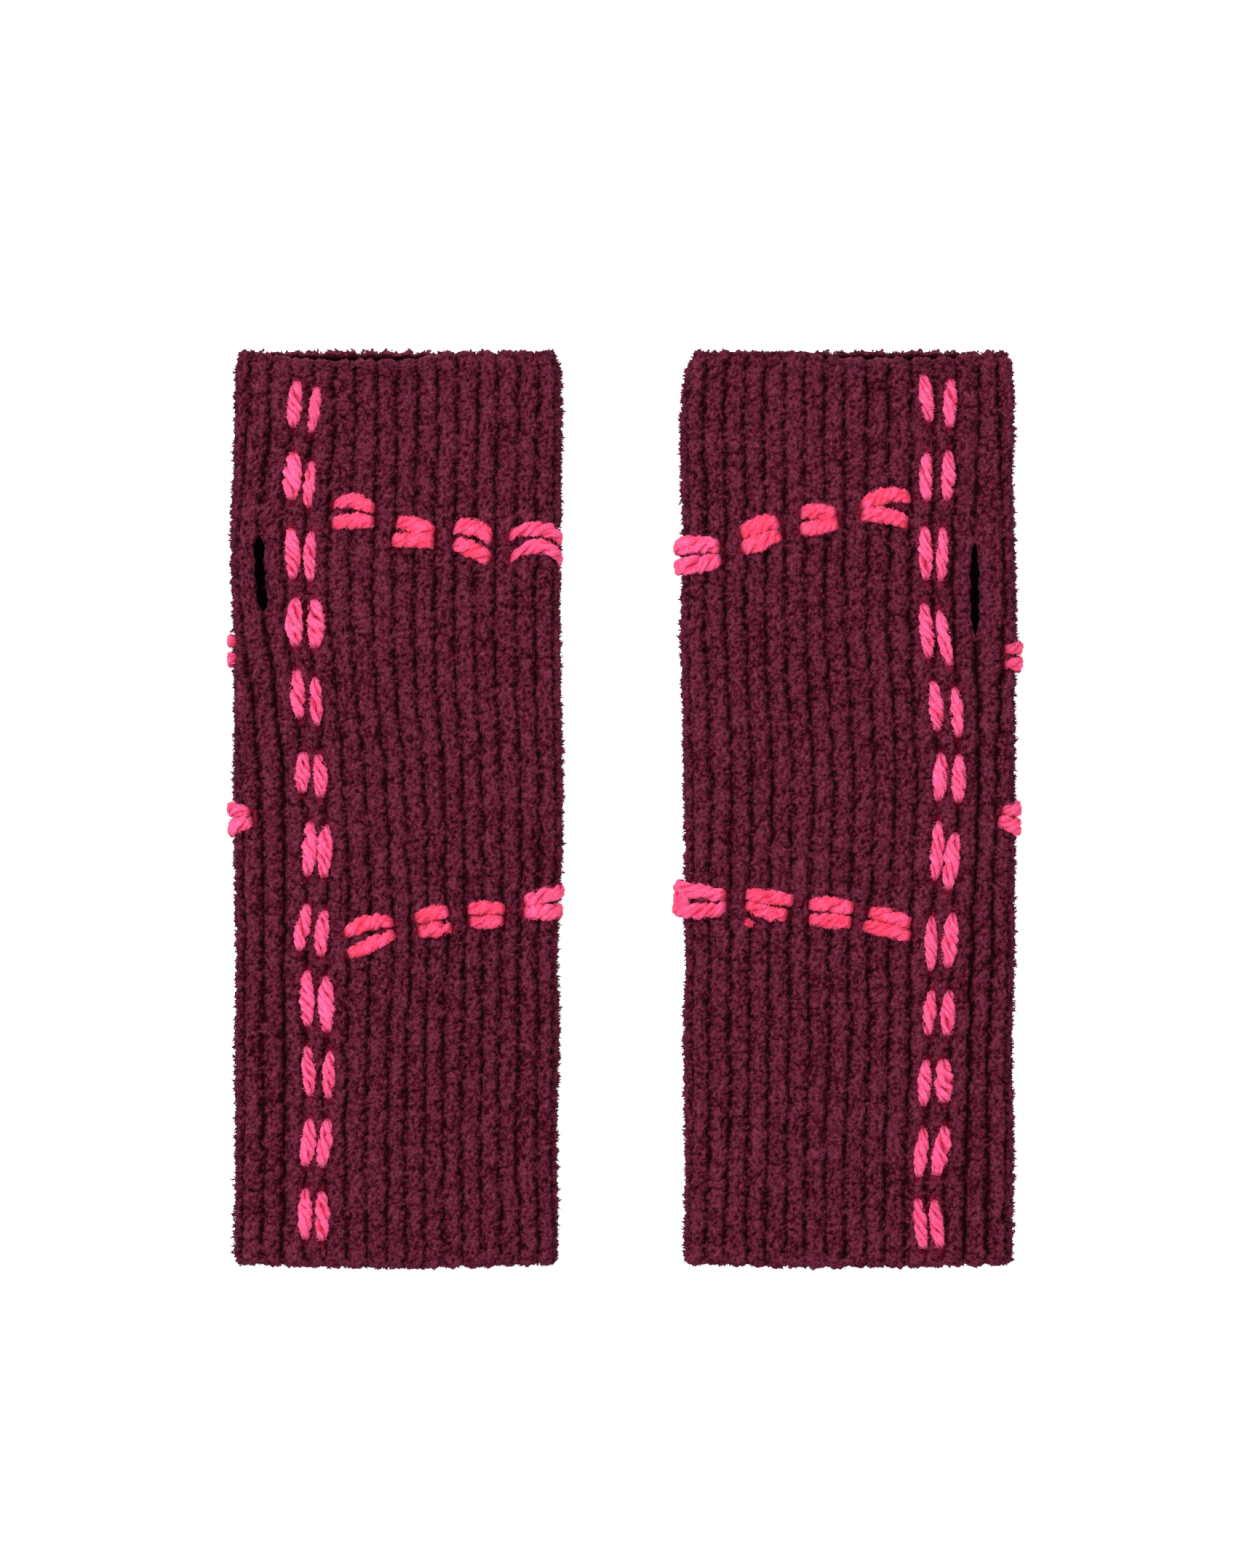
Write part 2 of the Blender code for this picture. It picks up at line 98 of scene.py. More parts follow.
# How finely the cloth is modelled.
THUMB_FOLD_COLUMNS = 15
THUMB_PANEL_COLUMNS = 12
FRONT_COLUMNS = 128
FAR_FOLD_COLUMNS = 15
UNDERSIDE_COLUMNS = 46
ROW_STEP = 0.78
LINING_EVERY = 14
RIM_BULGE = 1.5
RIM_RINGS = 5

# The thumb slit is the seam left open, its edges pushed apart.
SLIT_PUSH = 2.6
LIP_BULGE = 0.35

# The short nap that stands on the cloth, and a few longer stray fibres.
NAP_ON_FRONT = 32000
NAP_ON_FOLDS = 4500
NAP_BELOW = 4500
NAP_LENGTH = (0.4, 1.3)
NAP_ON_RIMS = 1800
FOLD_NAP_LENGTH = (0.6, 1.6)
RIM_NAP_LENGTH = (0.5, 1.3)
NAP_RADIUS = 0.22
FOLD_NAP_RADIUS = 0.44
RIM_NAP_RADIUS = 0.5
NAP_DEEPEST = 0.5
NAP_ROOM = 0.35
STRAYS = 170
STRAY_LENGTH = (1.2, 3.2)
STRAY_RADIUS = 0.05

# The sewn yarn: four plies twisted together.
YARN_WIDTH = 4.1
LONG_SPREAD = 1.13
END_TIP = 0.45
YARN_HEIGHT = 2.5
YARN_LEVEL = 0.95
YARN_TIP = 0.2
CROSS_TIP = 0.6
YARN_SWELL = 0.6
YARN_DIVE = 1.9
YARN_DIVE_SHARE = 0.1
PLIES = 4
PLY_RADIUS = 0.46
PLY_CENTRE = 0.56
FELT_PLY_RADIUS = 0.57
FELT_PLY_CENTRE = 0.45
PLY_TURN = (10.0, 15.5)
CROSS_PLY_TURN = (9.5, 13.0)
PLY_SWERVE = 0.8
PLY_UNEVEN = 0.36
PLY_LUMP = 1.3
PLY_ROUGH = 0.16
FELT_ROUGH = 0.27
CROSS_FELT = 0.85
EDGE_FELT = 0.4
END_PROUD = 0.3
PLY_RINGS = 30
UNDER_RINGS = 16
PLY_SIDES = 8
UNDER_LEVEL = -1.15
UNDER_HEIGHT = 1.9

# Where a strand goes into the cloth, and the pink light that it throws round itself, painted into the cloth's
# colour as a glow.
HOLE_DEPTH = 0.9
HOLE_SIZE = 1.5
HOLE_GLOW = 0.55
HALO_GLOW = 0.35
HALO_WIDTH = 0.45

# Loose fibres round the sewn yarn.
FUZZ_EACH = 130
FUZZ_LENGTH = (0.4, 1.3)
FUZZ_RADIUS = 0.13

Row = namedtuple("Row", "y thumb_edge seam middle far_edge hollow")
Corner = namedtuple("Corner", "draw height")
Slit = namedtuple("Slit", "y_finger y_wrist width rounding")
LongStitch = namedtuple("LongStitch", "y across apart slip length lean fan thumb_width far_width")
Cross = namedtuple("Cross", "across y length rise bow width")
Strand = namedtuple("Strand", "reach y length heading bow width height level proud tip felt")
Warmer = namedtuple("Warmer", "name centre facing middle_rib rows slit far_corner rim_step long_line "
                              "upper_row lower_row upper_ends lower_ends proud seed")

LEFT_ROWS = (
    Row(134.0, -49.4, -38.4, -5.8, 50.0, 2.1),
    Row(118.0, -49.8, -38.6, -5.9, 50.3, 1.3),
    Row(92.0, -50.4, -41.2, -6.5, 50.0, 1.0),
    Row(80.0, -50.6, -41.8, -6.9, 50.0, 1.2),
    Row(60.0, -49.9, -40.4, -7.3, 49.8, 1.2),
    Row(38.0, -49.9, -37.3, -6.2, 50.0, 0.8),
    Row(11.0, -49.7, -34.9, -3.5, 50.6, 0.7),
    Row(-15.0, -49.5, -34.2, -2.2, 50.4, 0.7),
    Row(-42.0, -48.9, -34.2, -1.2, 49.0, 0.7),
    Row(-68.0, -49.3, -34.2, -2.4, 49.6, 0.7),
    Row(-95.0, -49.1, -34.2, -2.8, 48.9, 0.9),
    Row(-134.0, -49.4, -34.2, -2.8, 49.2, 1.8),
)
RIGHT_ROWS = (
    Row(134.0, -49.8, -39.2, 1.6, 50.0, 2.1),
    Row(118.0, -50.8, -39.2, 1.5, 51.5, 1.3),
    Row(99.0, -50.1, -38.8, 1.3, 51.1, 1.0),
    Row(80.0, -50.6, -38.2, 1.2, 50.7, 1.2),
    Row(56.0, -51.1, -38.4, 1.0, 51.3, 1.2),
    Row(33.0, -51.0, -39.2, -0.4, 50.9, 0.8),
    Row(8.0, -50.8, -39.5, -1.7, 50.3, 0.7),
    Row(-18.0, -50.6, -38.6, -0.6, 50.1, 0.7),
    Row(-46.0, -50.5, -37.4, 0.4, 49.9, 0.7),
    Row(-72.0, -49.8, -36.6, -0.2, 50.4, 0.7),
    Row(-99.0, -50.2, -35.8, 1.2, 49.9, 0.9),
    Row(-134.0, -49.8, -35.2, 1.4, 50.2, 1.8),
)
LEFT_LONG_LINE = (
    LongStitch(122.0, -27.8, 5.7, -1.7, 14.0, -7, -1, 4.2, 3.2),
    LongStitch(99.7, -28.8, 5.2, -2.6, 13.8, -5, -1, 5.2, 3.3),
    LongStitch(77.0, -28.8, 5.7, -0.8, 15.2, 1, -2, 4.5, 3.6),
    LongStitch(56.3, -27.6, 5.8, -0.4, 14.2, 0, 0, 4.7, 5.1),
    LongStitch(33.5, -27.0, 5.4, -2.2, 14.4, 3, 0, 4.0, 3.5),
    LongStitch(10.3, -25.9, 5.0, -1.1, 12.5, 0, 3, 4.2, 3.9),
    LongStitch(-12.8, -24.1, 4.9, -0.7, 15.9, -3, 0, 4.2, 4.2),
    LongStitch(-37.2, -25.3, 6.0, -1.8, 14.0, -8, 3, 4.1, 4.0),
    LongStitch(-58.8, -24.0, 5.7, -1.7, 17.0, 1, 0, 4.1, 4.8),
    LongStitch(-80.6, -23.5, 6.5, -1.1, 14.7, 0, -3, 3.7, 3.5),
    LongStitch(-101.8, -24.4, 5.2, -0.3, 14.8, -7, -1, 4.2, 4.0),
    LongStitch(-123.7, -25.0, 4.9, -0.7, 15.0, 0, 0, 4.0, 4.2),
)
RIGHT_LONG_LINE = (
    LongStitch(123.8, -27.0, 7.3, 1.5, 14.7, -3, -5, 3.8, 3.9),
    LongStitch(100.9, -26.7, 6.3, -0.4, 14.8, 1, -1, 3.8, 3.7),
    LongStitch(77.3, -25.6, 5.1, 0.4, 16.3, 0, -2, 3.4, 4.0),
    LongStitch(52.8, -26.1, 5.5, 2.3, 16.7, -8, 2, 3.5, 3.9),
    LongStitch(30.1, -29.3, 6.5, 1.9, 14.9, -5, -1, 3.5, 3.8),
    LongStitch(9.2, -30.3, 5.9, 0.5, 14.8, 2, 1, 4.0, 4.0),
    LongStitch(-14.6, -28.8, 4.7, 3.3, 17.5, 6, -2, 4.6, 3.8),
    LongStitch(-40.7, -27.8, 5.8, -1.0, 16.7, 3, -2, 4.4, 3.5),
    LongStitch(-62.3, -27.3, 5.6, 0.1, 13.6, 4, 1, 4.2, 3.6),
    LongStitch(-83.3, -26.0, 5.8, -0.6, 13.4, 1, 3, 5.2, 3.6),
    LongStitch(-104.5, -24.7, 5.9, -0.6, 14.7, 9, -2, 4.7, 3.7),
    LongStitch(-126.4, -24.2, 5.0, 0.1, 14.7, -7, 0, 3.9, 3.6),
)

# Each cross stitch is two strands, the one nearer the finger end first.
LEFT_UPPER_ROW = (
    (Cross(-12.8, 91.6, 12.6, -8, 1.8, 4.7), Cross(-13.1, 86.9, 12.8, 2, 0.5, 5.0)),
    (Cross(5.8, 85.3, 11.9, -15, 0.8, 5.2), Cross(5.1, 81.0, 12.9, -3, 0.6, 5.0)),
    (Cross(23.3, 83.3, 12.1, -17, 2.2, 5.7), Cross(23.0, 78.2, 12.1, -24, 0.3, 5.6)),
    (Cross(43.2, 81.6, 18.0, -7, 3.4, 4.8), Cross(43.4, 75.0, 17.5, -6, 4.6, 4.8)),
)
LEFT_LOWER_ROW = (
    (Cross(-8.3, -36.3, 15.4, 14, 1.5, 4.8), Cross(-7.6, -41.2, 15.8, 24, -0.3, 4.5)),
    (Cross(10.8, -32.4, 10.5, 13, 0.4, 4.8), Cross(11.8, -36.8, 10.3, 8, 0.0, 4.8)),
    (Cross(27.4, -30.7, 11.4, 0, 0.6, 4.4), Cross(27.5, -34.3, 10.3, 4, -0.3, 4.4)),
    (Cross(46.2, -27.0, 15.0, 13, 0.8, 5.0), Cross(45.8, -31.6, 14.0, 3, 0.2, 5.0)),
)
RIGHT_UPPER_ROW = (
    (Cross(-11.2, 93.1, 15.2, -10, 1.9, 5.2), Cross(-10.7, 87.8, 14.5, 9, 1.3, 5.3)),
    (Cross(9.3, 89.6, 11.0, 3, 0.6, 5.2), Cross(9.1, 85.6, 11.9, -12, 0.0, 5.2)),
    (Cross(27.2, 85.4, 12.2, -17, 0.8, 5.5), Cross(26.7, 81.1, 12.7, -23, 0.0, 5.5)),
    (Cross(47.0, 79.1, 15.5, -3, 1.0, 5.7), Cross(46.2, 74.2, 15.0, -11, 0.1, 5.7)),
)
RIGHT_LOWER_ROW = (
    (Cross(-12.4, -33.3, 13.2, 16, 0.6, 4.7), Cross(-11.5, -37.3, 14.8, 13, 0.3, 4.7)),
    (Cross(5.4, -29.7, 13.8, 5, 0.4, 4.9), Cross(5.8, -34.2, 13.0, 5, 0.0, 4.9)),
    (Cross(24.2, -27.2, 14.7, 8, 0.3, 4.8), Cross(25.2, -31.1, 13.0, 14, -0.5, 4.6)),
    (Cross(44.9, -24.8, 15.4, 13, -0.6, 4.7), Cross(46.0, -29.7, 17.4, 1, -1.5, 5.0)),
)

# The ends of the cross rows that come round the thumb fold from below.
LEFT_UPPER_ENDS = (Cross(-55.9, 50.7, 12.0, 0, 0.4, 5.0), Cross(-55.8, 45.9, 12.0, -3, -0.3, 5.6))
LEFT_LOWER_ENDS = (Cross(-50.4, -1.1, 12.0, -2, 0.8, 4.4), Cross(-49.6, -5.4, 12.5, 16, -0.4, 5.0))
RIGHT_UPPER_ENDS = (Cross(-53.6, 48.8, 12.0, -6, 0.3, 4.3), Cross(-53.4, 44.4, 12.0, -4, -0.5, 5.0))
RIGHT_LOWER_ENDS = (Cross(-52.6, -0.5, 12.0, -4, 0.6, 4.4), Cross(-51.4, -5.0, 12.5, 14, -0.6, 5.2))

# The rounded corners of the hems. The far corner of each finger hem is its own.
THUMB_CORNER = Corner(3.6, 4.8)
WRIST_CORNER = Corner(3.0, 3.0)

WARMERS = (
    Warmer("left", -69.5, 1, 5, LEFT_ROWS, Slit(82.6, 60.2, 3.4, 2.2), Corner(4.6, 7.0), 4.3,
           LEFT_LONG_LINE, LEFT_UPPER_ROW, LEFT_LOWER_ROW, LEFT_UPPER_ENDS, LEFT_LOWER_ENDS,
           (-0.6, -0.3), 11),
    Warmer("right", 68.2, -1, 6, RIGHT_ROWS, Slit(80.6, 52.6, 3.0, 10.0), Corner(5.2, 9.0), 3.5,
           RIGHT_LONG_LINE, RIGHT_UPPER_ROW, RIGHT_LOWER_ROW, RIGHT_UPPER_ENDS, RIGHT_LOWER_ENDS,
           (1.2, 2.0), 23),
)

# Cross rows go on under the warmer, from the far fold to the thumb fold.
UPPER_UNDER_Y = (80.0, 50.0)
LOWER_UNDER_Y = (-29.0, -4.0)
UNDER_SHARES = (0.2, 0.42, 0.64, 0.84)
UNDER_LENGTH = 13.0
UNDER_APART = 4.8

# On the right warmer the lower row's last stitch turns back on the fold, and an end shows.
YARN_LOOP = Cross(50.2, -27.2, 7.2, 86, 0.0, 5.2)
YARN_DOT = Cross(30.4, -34.9, 2.8, 20, 0.0, 1.9)
DOT_HEIGHT = 1.5
DOT_LEVEL = 0.4

# Colours, as linear values.
# The cloth's tone ramp, deep to light: painted shade at the deep end in the valleys and between nubs, the
# cloth's own wine red and uneven tone in the middle, painted light on nub tops and folds at the light end.
CLOTH_DEEP_SHADE = (0.020, 0.0010, 0.0036, 1.0)
CLOTH_DARK = (0.068, 0.0046, 0.0140, 1.0)
CLOTH_BASE = (0.134, 0.0165, 0.0395, 1.0)
CLOTH_LIGHT = (0.200, 0.0315, 0.0650, 1.0)
# Painted light: the pink glow that the yarn throws on the cloth round it and at its holes.
CLOTH_GLOW = (0.420, 0.0050, 0.0340, 1.0)
# Painted shadow, near black, for the lining inside the tube and the slit's lips.
CLOTH_INSIDE_SHADOW = (0.0015, 0.0002, 0.0004, 1.0)
INSIDE_SHADE = 2.0
RIM_SHADE = 1.1
RIM_LIT_TURN = 2.0
SHADE_GAIN = 0.62
CLOTH_SHEEN = (0.95, 0.42, 0.60, 1.0)
# Stray fibres' tint: partly their own pale colour, partly painted glint.
STRAY_TINT_AND_GLINT = (0.42, 0.16, 0.22, 1.0)
YARN_PINK = (1.000, 0.074, 0.235, 1.0)
# Pale streaks along the fibres: partly the yarn's own paler fibres, partly painted highlight.
YARN_PALE_FIBRE_AND_HIGHLIGHT = (1.000, 0.195, 0.440, 1.0)
YARN_CORAL = (1.000, 0.048, 0.118, 1.0)
# Painted shade, deep red, in the creases between plies.
YARN_CREASE_SHADE = (0.740, 0.018, 0.075, 1.0)
# Painted shade in small pits of the yarn.
YARN_PIT_SHADE = (0.430, 0.005, 0.030, 1.0)
# Painted shade, dark red, where a strand dives into the cloth.
YARN_END_SHADE = (0.420, 0.005, 0.030, 1.0)

# The photograph's frame, and the camera straight above it.
FRAME_WIDTH_PX = 1725
FRAME_HEIGHT_PX = 2156
FRAME_HEIGHT = 476.9
FRAME_CENTRE = (0.8, 7.9)
FRAME_LEVEL = 7.0
CAMERA_HEIGHT = 1600.0
SENSOR = 36.0
FLOOR_HALF = 6.0


def mix(first, second, share):
    return first + (second - first) * share


def ease(t):
    return t * t * (3 - 2 * t)


def scatter(i, j, seed):
    """An even random number from 0 to 1 for each cell of a lattice."""
    code = (i.astype(np.int64) * 73856093) ^ (j.astype(np.int64) * 19349663) ^ (seed * 83492791)
    code = ((code ^ (code >> 13)) * 1274126177) & 0xFFFFFFFF
    code = ((code ^ (code >> 15)) * 2246822519) & 0xFFFFFFFF
    return ((code ^ (code >> 16)) & 0xFFFFFF) / 0xFFFFFF


def soft_noise(a, b, period, seed):
    """Smooth noise from -1 to 1 on a lattice that repeats after period cells of a."""
    i = np.floor(a)
    j = np.floor(b)
    s = ease(a - i)
    t = ease(b - j)
    near = mix(scatter(i % period, j, seed), scatter((i + 1) % period, j, seed), s)
    far = mix(scatter(i % period, j + 1, seed), scatter((i + 1) % period, j + 1, seed), s)
    return 2 * mix(near, far, t) - 1


def nubs(a, b, period, seed):
    """Distance to the nearest and the second nearest of scattered nubs, and the nearest's number."""
    nearest = np.full(a.shape, 9.0)
    second = np.full(a.shape, 9.0)
    own = np.zeros(a.shape)
    for di in (-1, 0, 1):
        for dj in (-1, 0, 1):
            i = np.floor(a) + di
            j = np.floor(b) + dj
            centre_a = i + 0.5 + 0.42 * (2 * scatter(i % period, j, seed) - 1)
            centre_b = j + 0.5 + 0.42 * (2 * scatter(i % period, j, seed + 1) - 1)
            gap = np.hypot(centre_a - a, centre_b - b)
            closer = gap < nearest
            second = np.where(closer, nearest, np.minimum(second, gap))
            own = np.where(closer, scatter(i % period, j, seed + 2), own)
            nearest = np.where(closer, gap, nearest)
    return nearest, second, own


def column(rows, name, y):
    """Read one column of a warmer's table at y, on a smooth curve through its rows."""
    stations = np.array([row.y for row in rows][::-1])
    values = np.array([getattr(row, name) for row in rows][::-1])
    slopes = np.gradient(values, stations)
    y = np.clip(y, stations[0], stations[-1])
    i = np.clip(np.searchsorted(stations, y) - 1, 0, len(stations) - 2)
    span = stations[i + 1] - stations[i]
    t = (y - stations[i]) / span
    start = (1 + 2 * t) * (1 - t) ** 2 * values[i] + t * (1 - t) ** 2 * span * slopes[i]
    end = t * t * (3 - 2 * t) * values[i + 1] - t * t * (1 - t) * span * slopes[i + 1]
    return start + end


def corner_inset(corner, from_end):
    """How far an edge draws in at a rounded corner, at a distance from the end."""
    rise = np.clip(1 - from_end / corner.height, 0, 1)
    return corner.draw * (1 - np.sqrt(1 - rise * rise))


class Form:
    """The tube's outline at each y, level with the rib crests."""

    def __init__(self, warmer, y):
        inset = NAP_ROOM + corner_inset(WRIST_CORNER, y - WRIST_END)
        thumb_inset = inset + corner_inset(THUMB_CORNER, FINGER_END - y)
        far_inset = inset + corner_inset(warmer.far_corner, FINGER_END - y)
        self.warmer = warmer
        self.hollow = column(warmer.rows, "hollow", y)
        self.height = BACK_WALL + self.hollow + FRONT_WALL
        self.radius = self.height / 2
        self.seam = column(warmer.rows, "seam", y)
        self.middle = column(warmer.rows, "middle", y)
        self.flat_thumb = column(warmer.rows, "thumb_edge", y) + thumb_inset + self.radius
        self.flat_far = column(warmer.rows, "far_edge", y) - far_inset - self.radius
        self.flat = self.flat_far - self.flat_thumb
        self.fold = math.pi * self.radius
        self.under_thumb = self.flat_thumb - self.fold
        self.under_far = self.flat_far + self.fold
        self.girth = 2 * (self.flat + self.fold)

    def bends(self, reach):
        """How far a reach has turned round the folds, which way, and how far it has come back."""
        past_far = np.clip(reach - self.flat_far, 0, None)
        past_thumb = np.clip(self.flat_thumb - reach, 0, None)
        far_turn = np.minimum(past_far / self.radius, math.pi)
        thumb_turn = np.minimum(past_thumb / self.radius, math.pi)
        back = np.clip(past_thumb - self.fold, 0, None) - np.clip(past_far - self.fold, 0, None)
        start = np.clip(reach, self.flat_thumb, self.flat_far) + back
        return start, np.sin(far_turn) - np.sin(thumb_turn), np.cos(far_turn + thumb_turn)

    def point(self, reach, out):
        """Across and height of the point at a reach along the cloth, moved out of it."""
        start, sideways, up = self.bends(reach)
        return start + (self.radius + out) * sideways, self.radius + (self.radius + out) * up

    def lining_point(self, reach):
        start, sideways, up = self.bends(reach)
        height = BACK_WALL + self.hollow / 2 * (1 + up)
        return start + (self.radius - SIDE_WALL) * sideways, height


def hem_shift(warmer, y, across, height_share):
    """How far a point near a hem moves along y, so that the rims lie as they do on cloth."""
    near_finger = np.clip(1 - (FINGER_END - y) / (2 * HEM_BAND), 0, 1)
    window = np.exp(-((across - RIM_STEP_ACROSS) / RIM_STEP_HALF) ** 4)
    near_wrist = np.clip(1 - (y - WRIST_END) / (2 * HEM_BAND), 0, 1)
    bow = np.clip(1 - (across / WRIST_BOW_HALF) ** 2, 0, 1)
    finger_shift = window * (RIM_REACH * (1 - height_share) - warmer.rim_step * height_share)
    return near_finger * finger_shift - near_wrist * WRIST_BOW * bow


def rib_phase(form, reach, y):
    """Count of ribs from the seam at a reach, and the width of one rib there."""
    slide = THUMB_SLIDE * np.exp(-((y - THUMB_SLIDE_Y) / THUMB_SLIDE_HALF) ** 2)
    first = FIRST_RIB + slide
    stops = (form.under_thumb, form.seam, form.middle, form.under_far, form.under_thumb + form.girth)
    counts = (first, 0, form.warmer.middle_rib, LAST_RIB, RIBS_ROUND + first)
    phase = np.zeros(np.broadcast(reach, y).shape)
    pitch = np.ones(phase.shape)
    for low, high, start, end in zip(stops, stops[1:], counts, counts[1:]):
        inside = (reach >= low) & (reach <= high)
        phase = np.where(inside, start + (end - start) * (reach - low) / (high - low), phase)
        pitch = np.where(inside, (high - low) / (end - start), pitch)
    return phase, pitch


def valley_depth(form, valley, reach, y):
    """Depth of each rib's valley: uneven along it, shallow in the hem bands and underneath."""
    warmer = form.warmer
    seed = warmer.seed
    from_end = np.clip(np.minimum(FINGER_END - y, y - WRIST_END) / HEM_BAND, 0, 1)
    fade = HEM_RIB_SHARE + (1 - HEM_RIB_SHARE) * from_end
    number = valley % RIBS_ROUND
    long_wave = soft_noise(number * 1.0, y / 8.0, RIBS_ROUND, seed + 31)
    bridges = soft_noise(number * 1.0, y / 2.3, RIBS_ROUND, seed + 37)
    bridged = ease(np.clip(bridges * 2.2 - 0.5, 0, 1))
    depth = VALLEY_DEPTH * (0.88 + 0.12 * long_wave) * (1 - 0.3 * bridged)
    below_slit = y < warmer.slit.y_wrist
    depth = np.where(below_slit & (number >= RIBS_ROUND - 3), PANEL_DEEPER * depth, depth)
    depth = np.where(below_slit & (number == 0), SEAM_DEPTH, depth)
    beside_slit = (number == 0) & (y >= warmer.slit.y_wrist - 2) & (y <= warmer.slit.y_finger + 2)
    depth = np.where(beside_slit, 0.3, depth)
    underneath = (reach > form.under_far) | (reach < form.under_thumb)
    return depth * fade * np.where(underneath, UNDER_DEPTH, 1.0)


def yarn_press(form, reach, y, strands):
    """How far the sewn strands press the cloth down, and pinch it at their ends."""
    press = np.zeros(np.broadcast(reach, y).shape)
    glow = np.zeros(press.shape)
    for strand in strands:
        heading = math.radians(strand.heading)
        along = (reach - strand.reach) * math.cos(heading) + (y - strand.y) * math.sin(heading)
        side = (y - strand.y) * math.cos(heading) - (reach - strand.reach) * math.sin(heading)
        half = strand.length / 2
        side = side - strand.bow * np.clip(1 - (along / half) ** 2, 0, 1)
        bed = np.exp(-(side / (0.42 * strand.width)) ** 4 - (along / half) ** 8)
        press = np.maximum(press, bed * max(0.6, -strand.level + strand.height / 2))
        round_end = np.clip(np.abs(along) - half + strand.width / 2, 0, None)
        clear = np.hypot(side, round_end) - strand.width / 2
        halo = HALO_GLOW * np.exp(-(clear / HALO_WIDTH) ** 2)
        for end in (-1, 1):
            hole = np.exp(-((along - end * (half + 0.2)) ** 2 + side ** 2) / HOLE_SIZE ** 2)
            press = np.maximum(press, HOLE_DEPTH * hole)
            halo = np.maximum(halo, HOLE_GLOW * hole)
        glow = np.maximum(glow, halo)
    return press, glow


def knit_relief(form, reach, y, strands):
    """How far the cloth stands out, how shaded it is, and its nub's own tone."""
    seed = form.warmer.seed
    around = (reach - form.under_thumb) / form.girth
    around = around - np.floor(around)
    drift = NUB_DRIFT * soft_noise(around * 72, y / 4.7, 72, seed + 17)
    nearest, second, own = nubs(around * NUBS_ROUND, y / NUB_LENGTH + drift, NUBS_ROUND, seed + 5)
    nearest = np.minimum(nearest, 1.0)
    gap = np.clip(1 - (second - nearest) / 0.5, 0, 1)
    phase, pitch = rib_phase(form, reach, y)
    wander = WANDER * soft_noise(around * 44, y / 4.6, 44, seed)
    wander = wander + ZIGZAG * soft_noise(around * 70, y / 1.5, 70, seed + 3)
    phase = phase + wander / pitch
    valley = np.round(phase)
    off = np.abs(phase - valley) * pitch
    slope = (1 - 2 * off / pitch) ** 2
    off = np.maximum(off + SCALLOP * (0.45 - nearest), 0)
    groove = np.exp(-(off / VALLEY_WIDTH) ** 2) * valley_depth(form, valley, reach, y)
    near_small, second_small, own_small = nubs(
        around * SMALL_NUBS_ROUND, y / SMALL_NUB_LENGTH + drift, SMALL_NUBS_ROUND, seed + 11)
    small = SMALL_NUB_HEIGHT * (0.55 - near_small + 0.8 * (own_small - 0.5))
    nub = NUB_HEIGHT * (0.4 - nearest) + NUB_SPREAD * (own - 0.5) + small
    press, glow = yarn_press(form, reach, y, strands)
    out = -groove - CREST_DROP * slope + nub * (1 - 0.3 * groove / VALLEY_DEPTH) - press
    # Painted shade: valleys, rib sides, gaps between nubs and cloth pressed under the yarn are darkened in the
    # colour, and nub tops are lightened as painted light.
    shade = 0.8 * groove / VALLEY_DEPTH + 0.08 * slope + 0.6 * gap * nearest - 0.25 * nub + 0.2 * press
    # Painted light: the colour is lightened along the hems and round the folds.
    from_end = np.clip(np.minimum(FINGER_END - y, y - WRIST_END) / (1.4 * HEM_BAND), 0, 1)
    shade = shade - EDGE_PAINTED_LIGHT * np.maximum(1 - from_end, np.abs(form.bends(reach)[1]) ** 2)
    return out, np.clip(shade, 0, 1.2), own, glow


def slit_half_width(warmer, y):
    """Half the width of the slit at y. It is 0 beyond its ends."""
    from_end = np.minimum(warmer.slit.y_finger - y, y - warmer.slit.y_wrist) / warmer.slit.rounding
    rounding = np.sqrt(np.clip(1 - (1 - np.clip(from_end, 0, 1)) ** 2, 0, 1))
    uneven = 1 + 0.12 * np.sin(y * 0.9) + 0.1 * np.sin(y * 2.3 + 1)
    return warmer.slit.width / 2 * rounding * uneven


def part_slit(form, reach, y, side):
    """Push the cloth beside the slit away from it."""
    away = np.abs(reach - form.seam)
    return reach + side * slit_half_width(form.warmer, y) * np.exp(-away / SLIT_PUSH)


def place(warmer, across, y, height):
    """World points in metres from a warmer's own places in millimetres."""
    x = warmer.centre + PAIR_SHIFT[0] + warmer.facing * across
    return np.stack(np.broadcast_arrays(x, y + PAIR_SHIFT[1], np.maximum(height, 0.0)), axis=-1) * MM


def column_reaches(form):
    """Reach of each column of points round the tube, one row for each y."""
    stops = (form.under_thumb, form.flat_thumb, form.seam, form.flat_far, form.under_far,
             form.under_thumb + form.girth)
    counts = (THUMB_FOLD_COLUMNS, THUMB_PANEL_COLUMNS, FRONT_COLUMNS, FAR_FOLD_COLUMNS, UNDERSIDE_COLUMNS)
    parts = []
    for low, high, count in zip(stops, stops[1:], counts):
        parts.append(low + (high - low) * np.arange(count) / count)
    return np.concatenate(parts, axis=1)


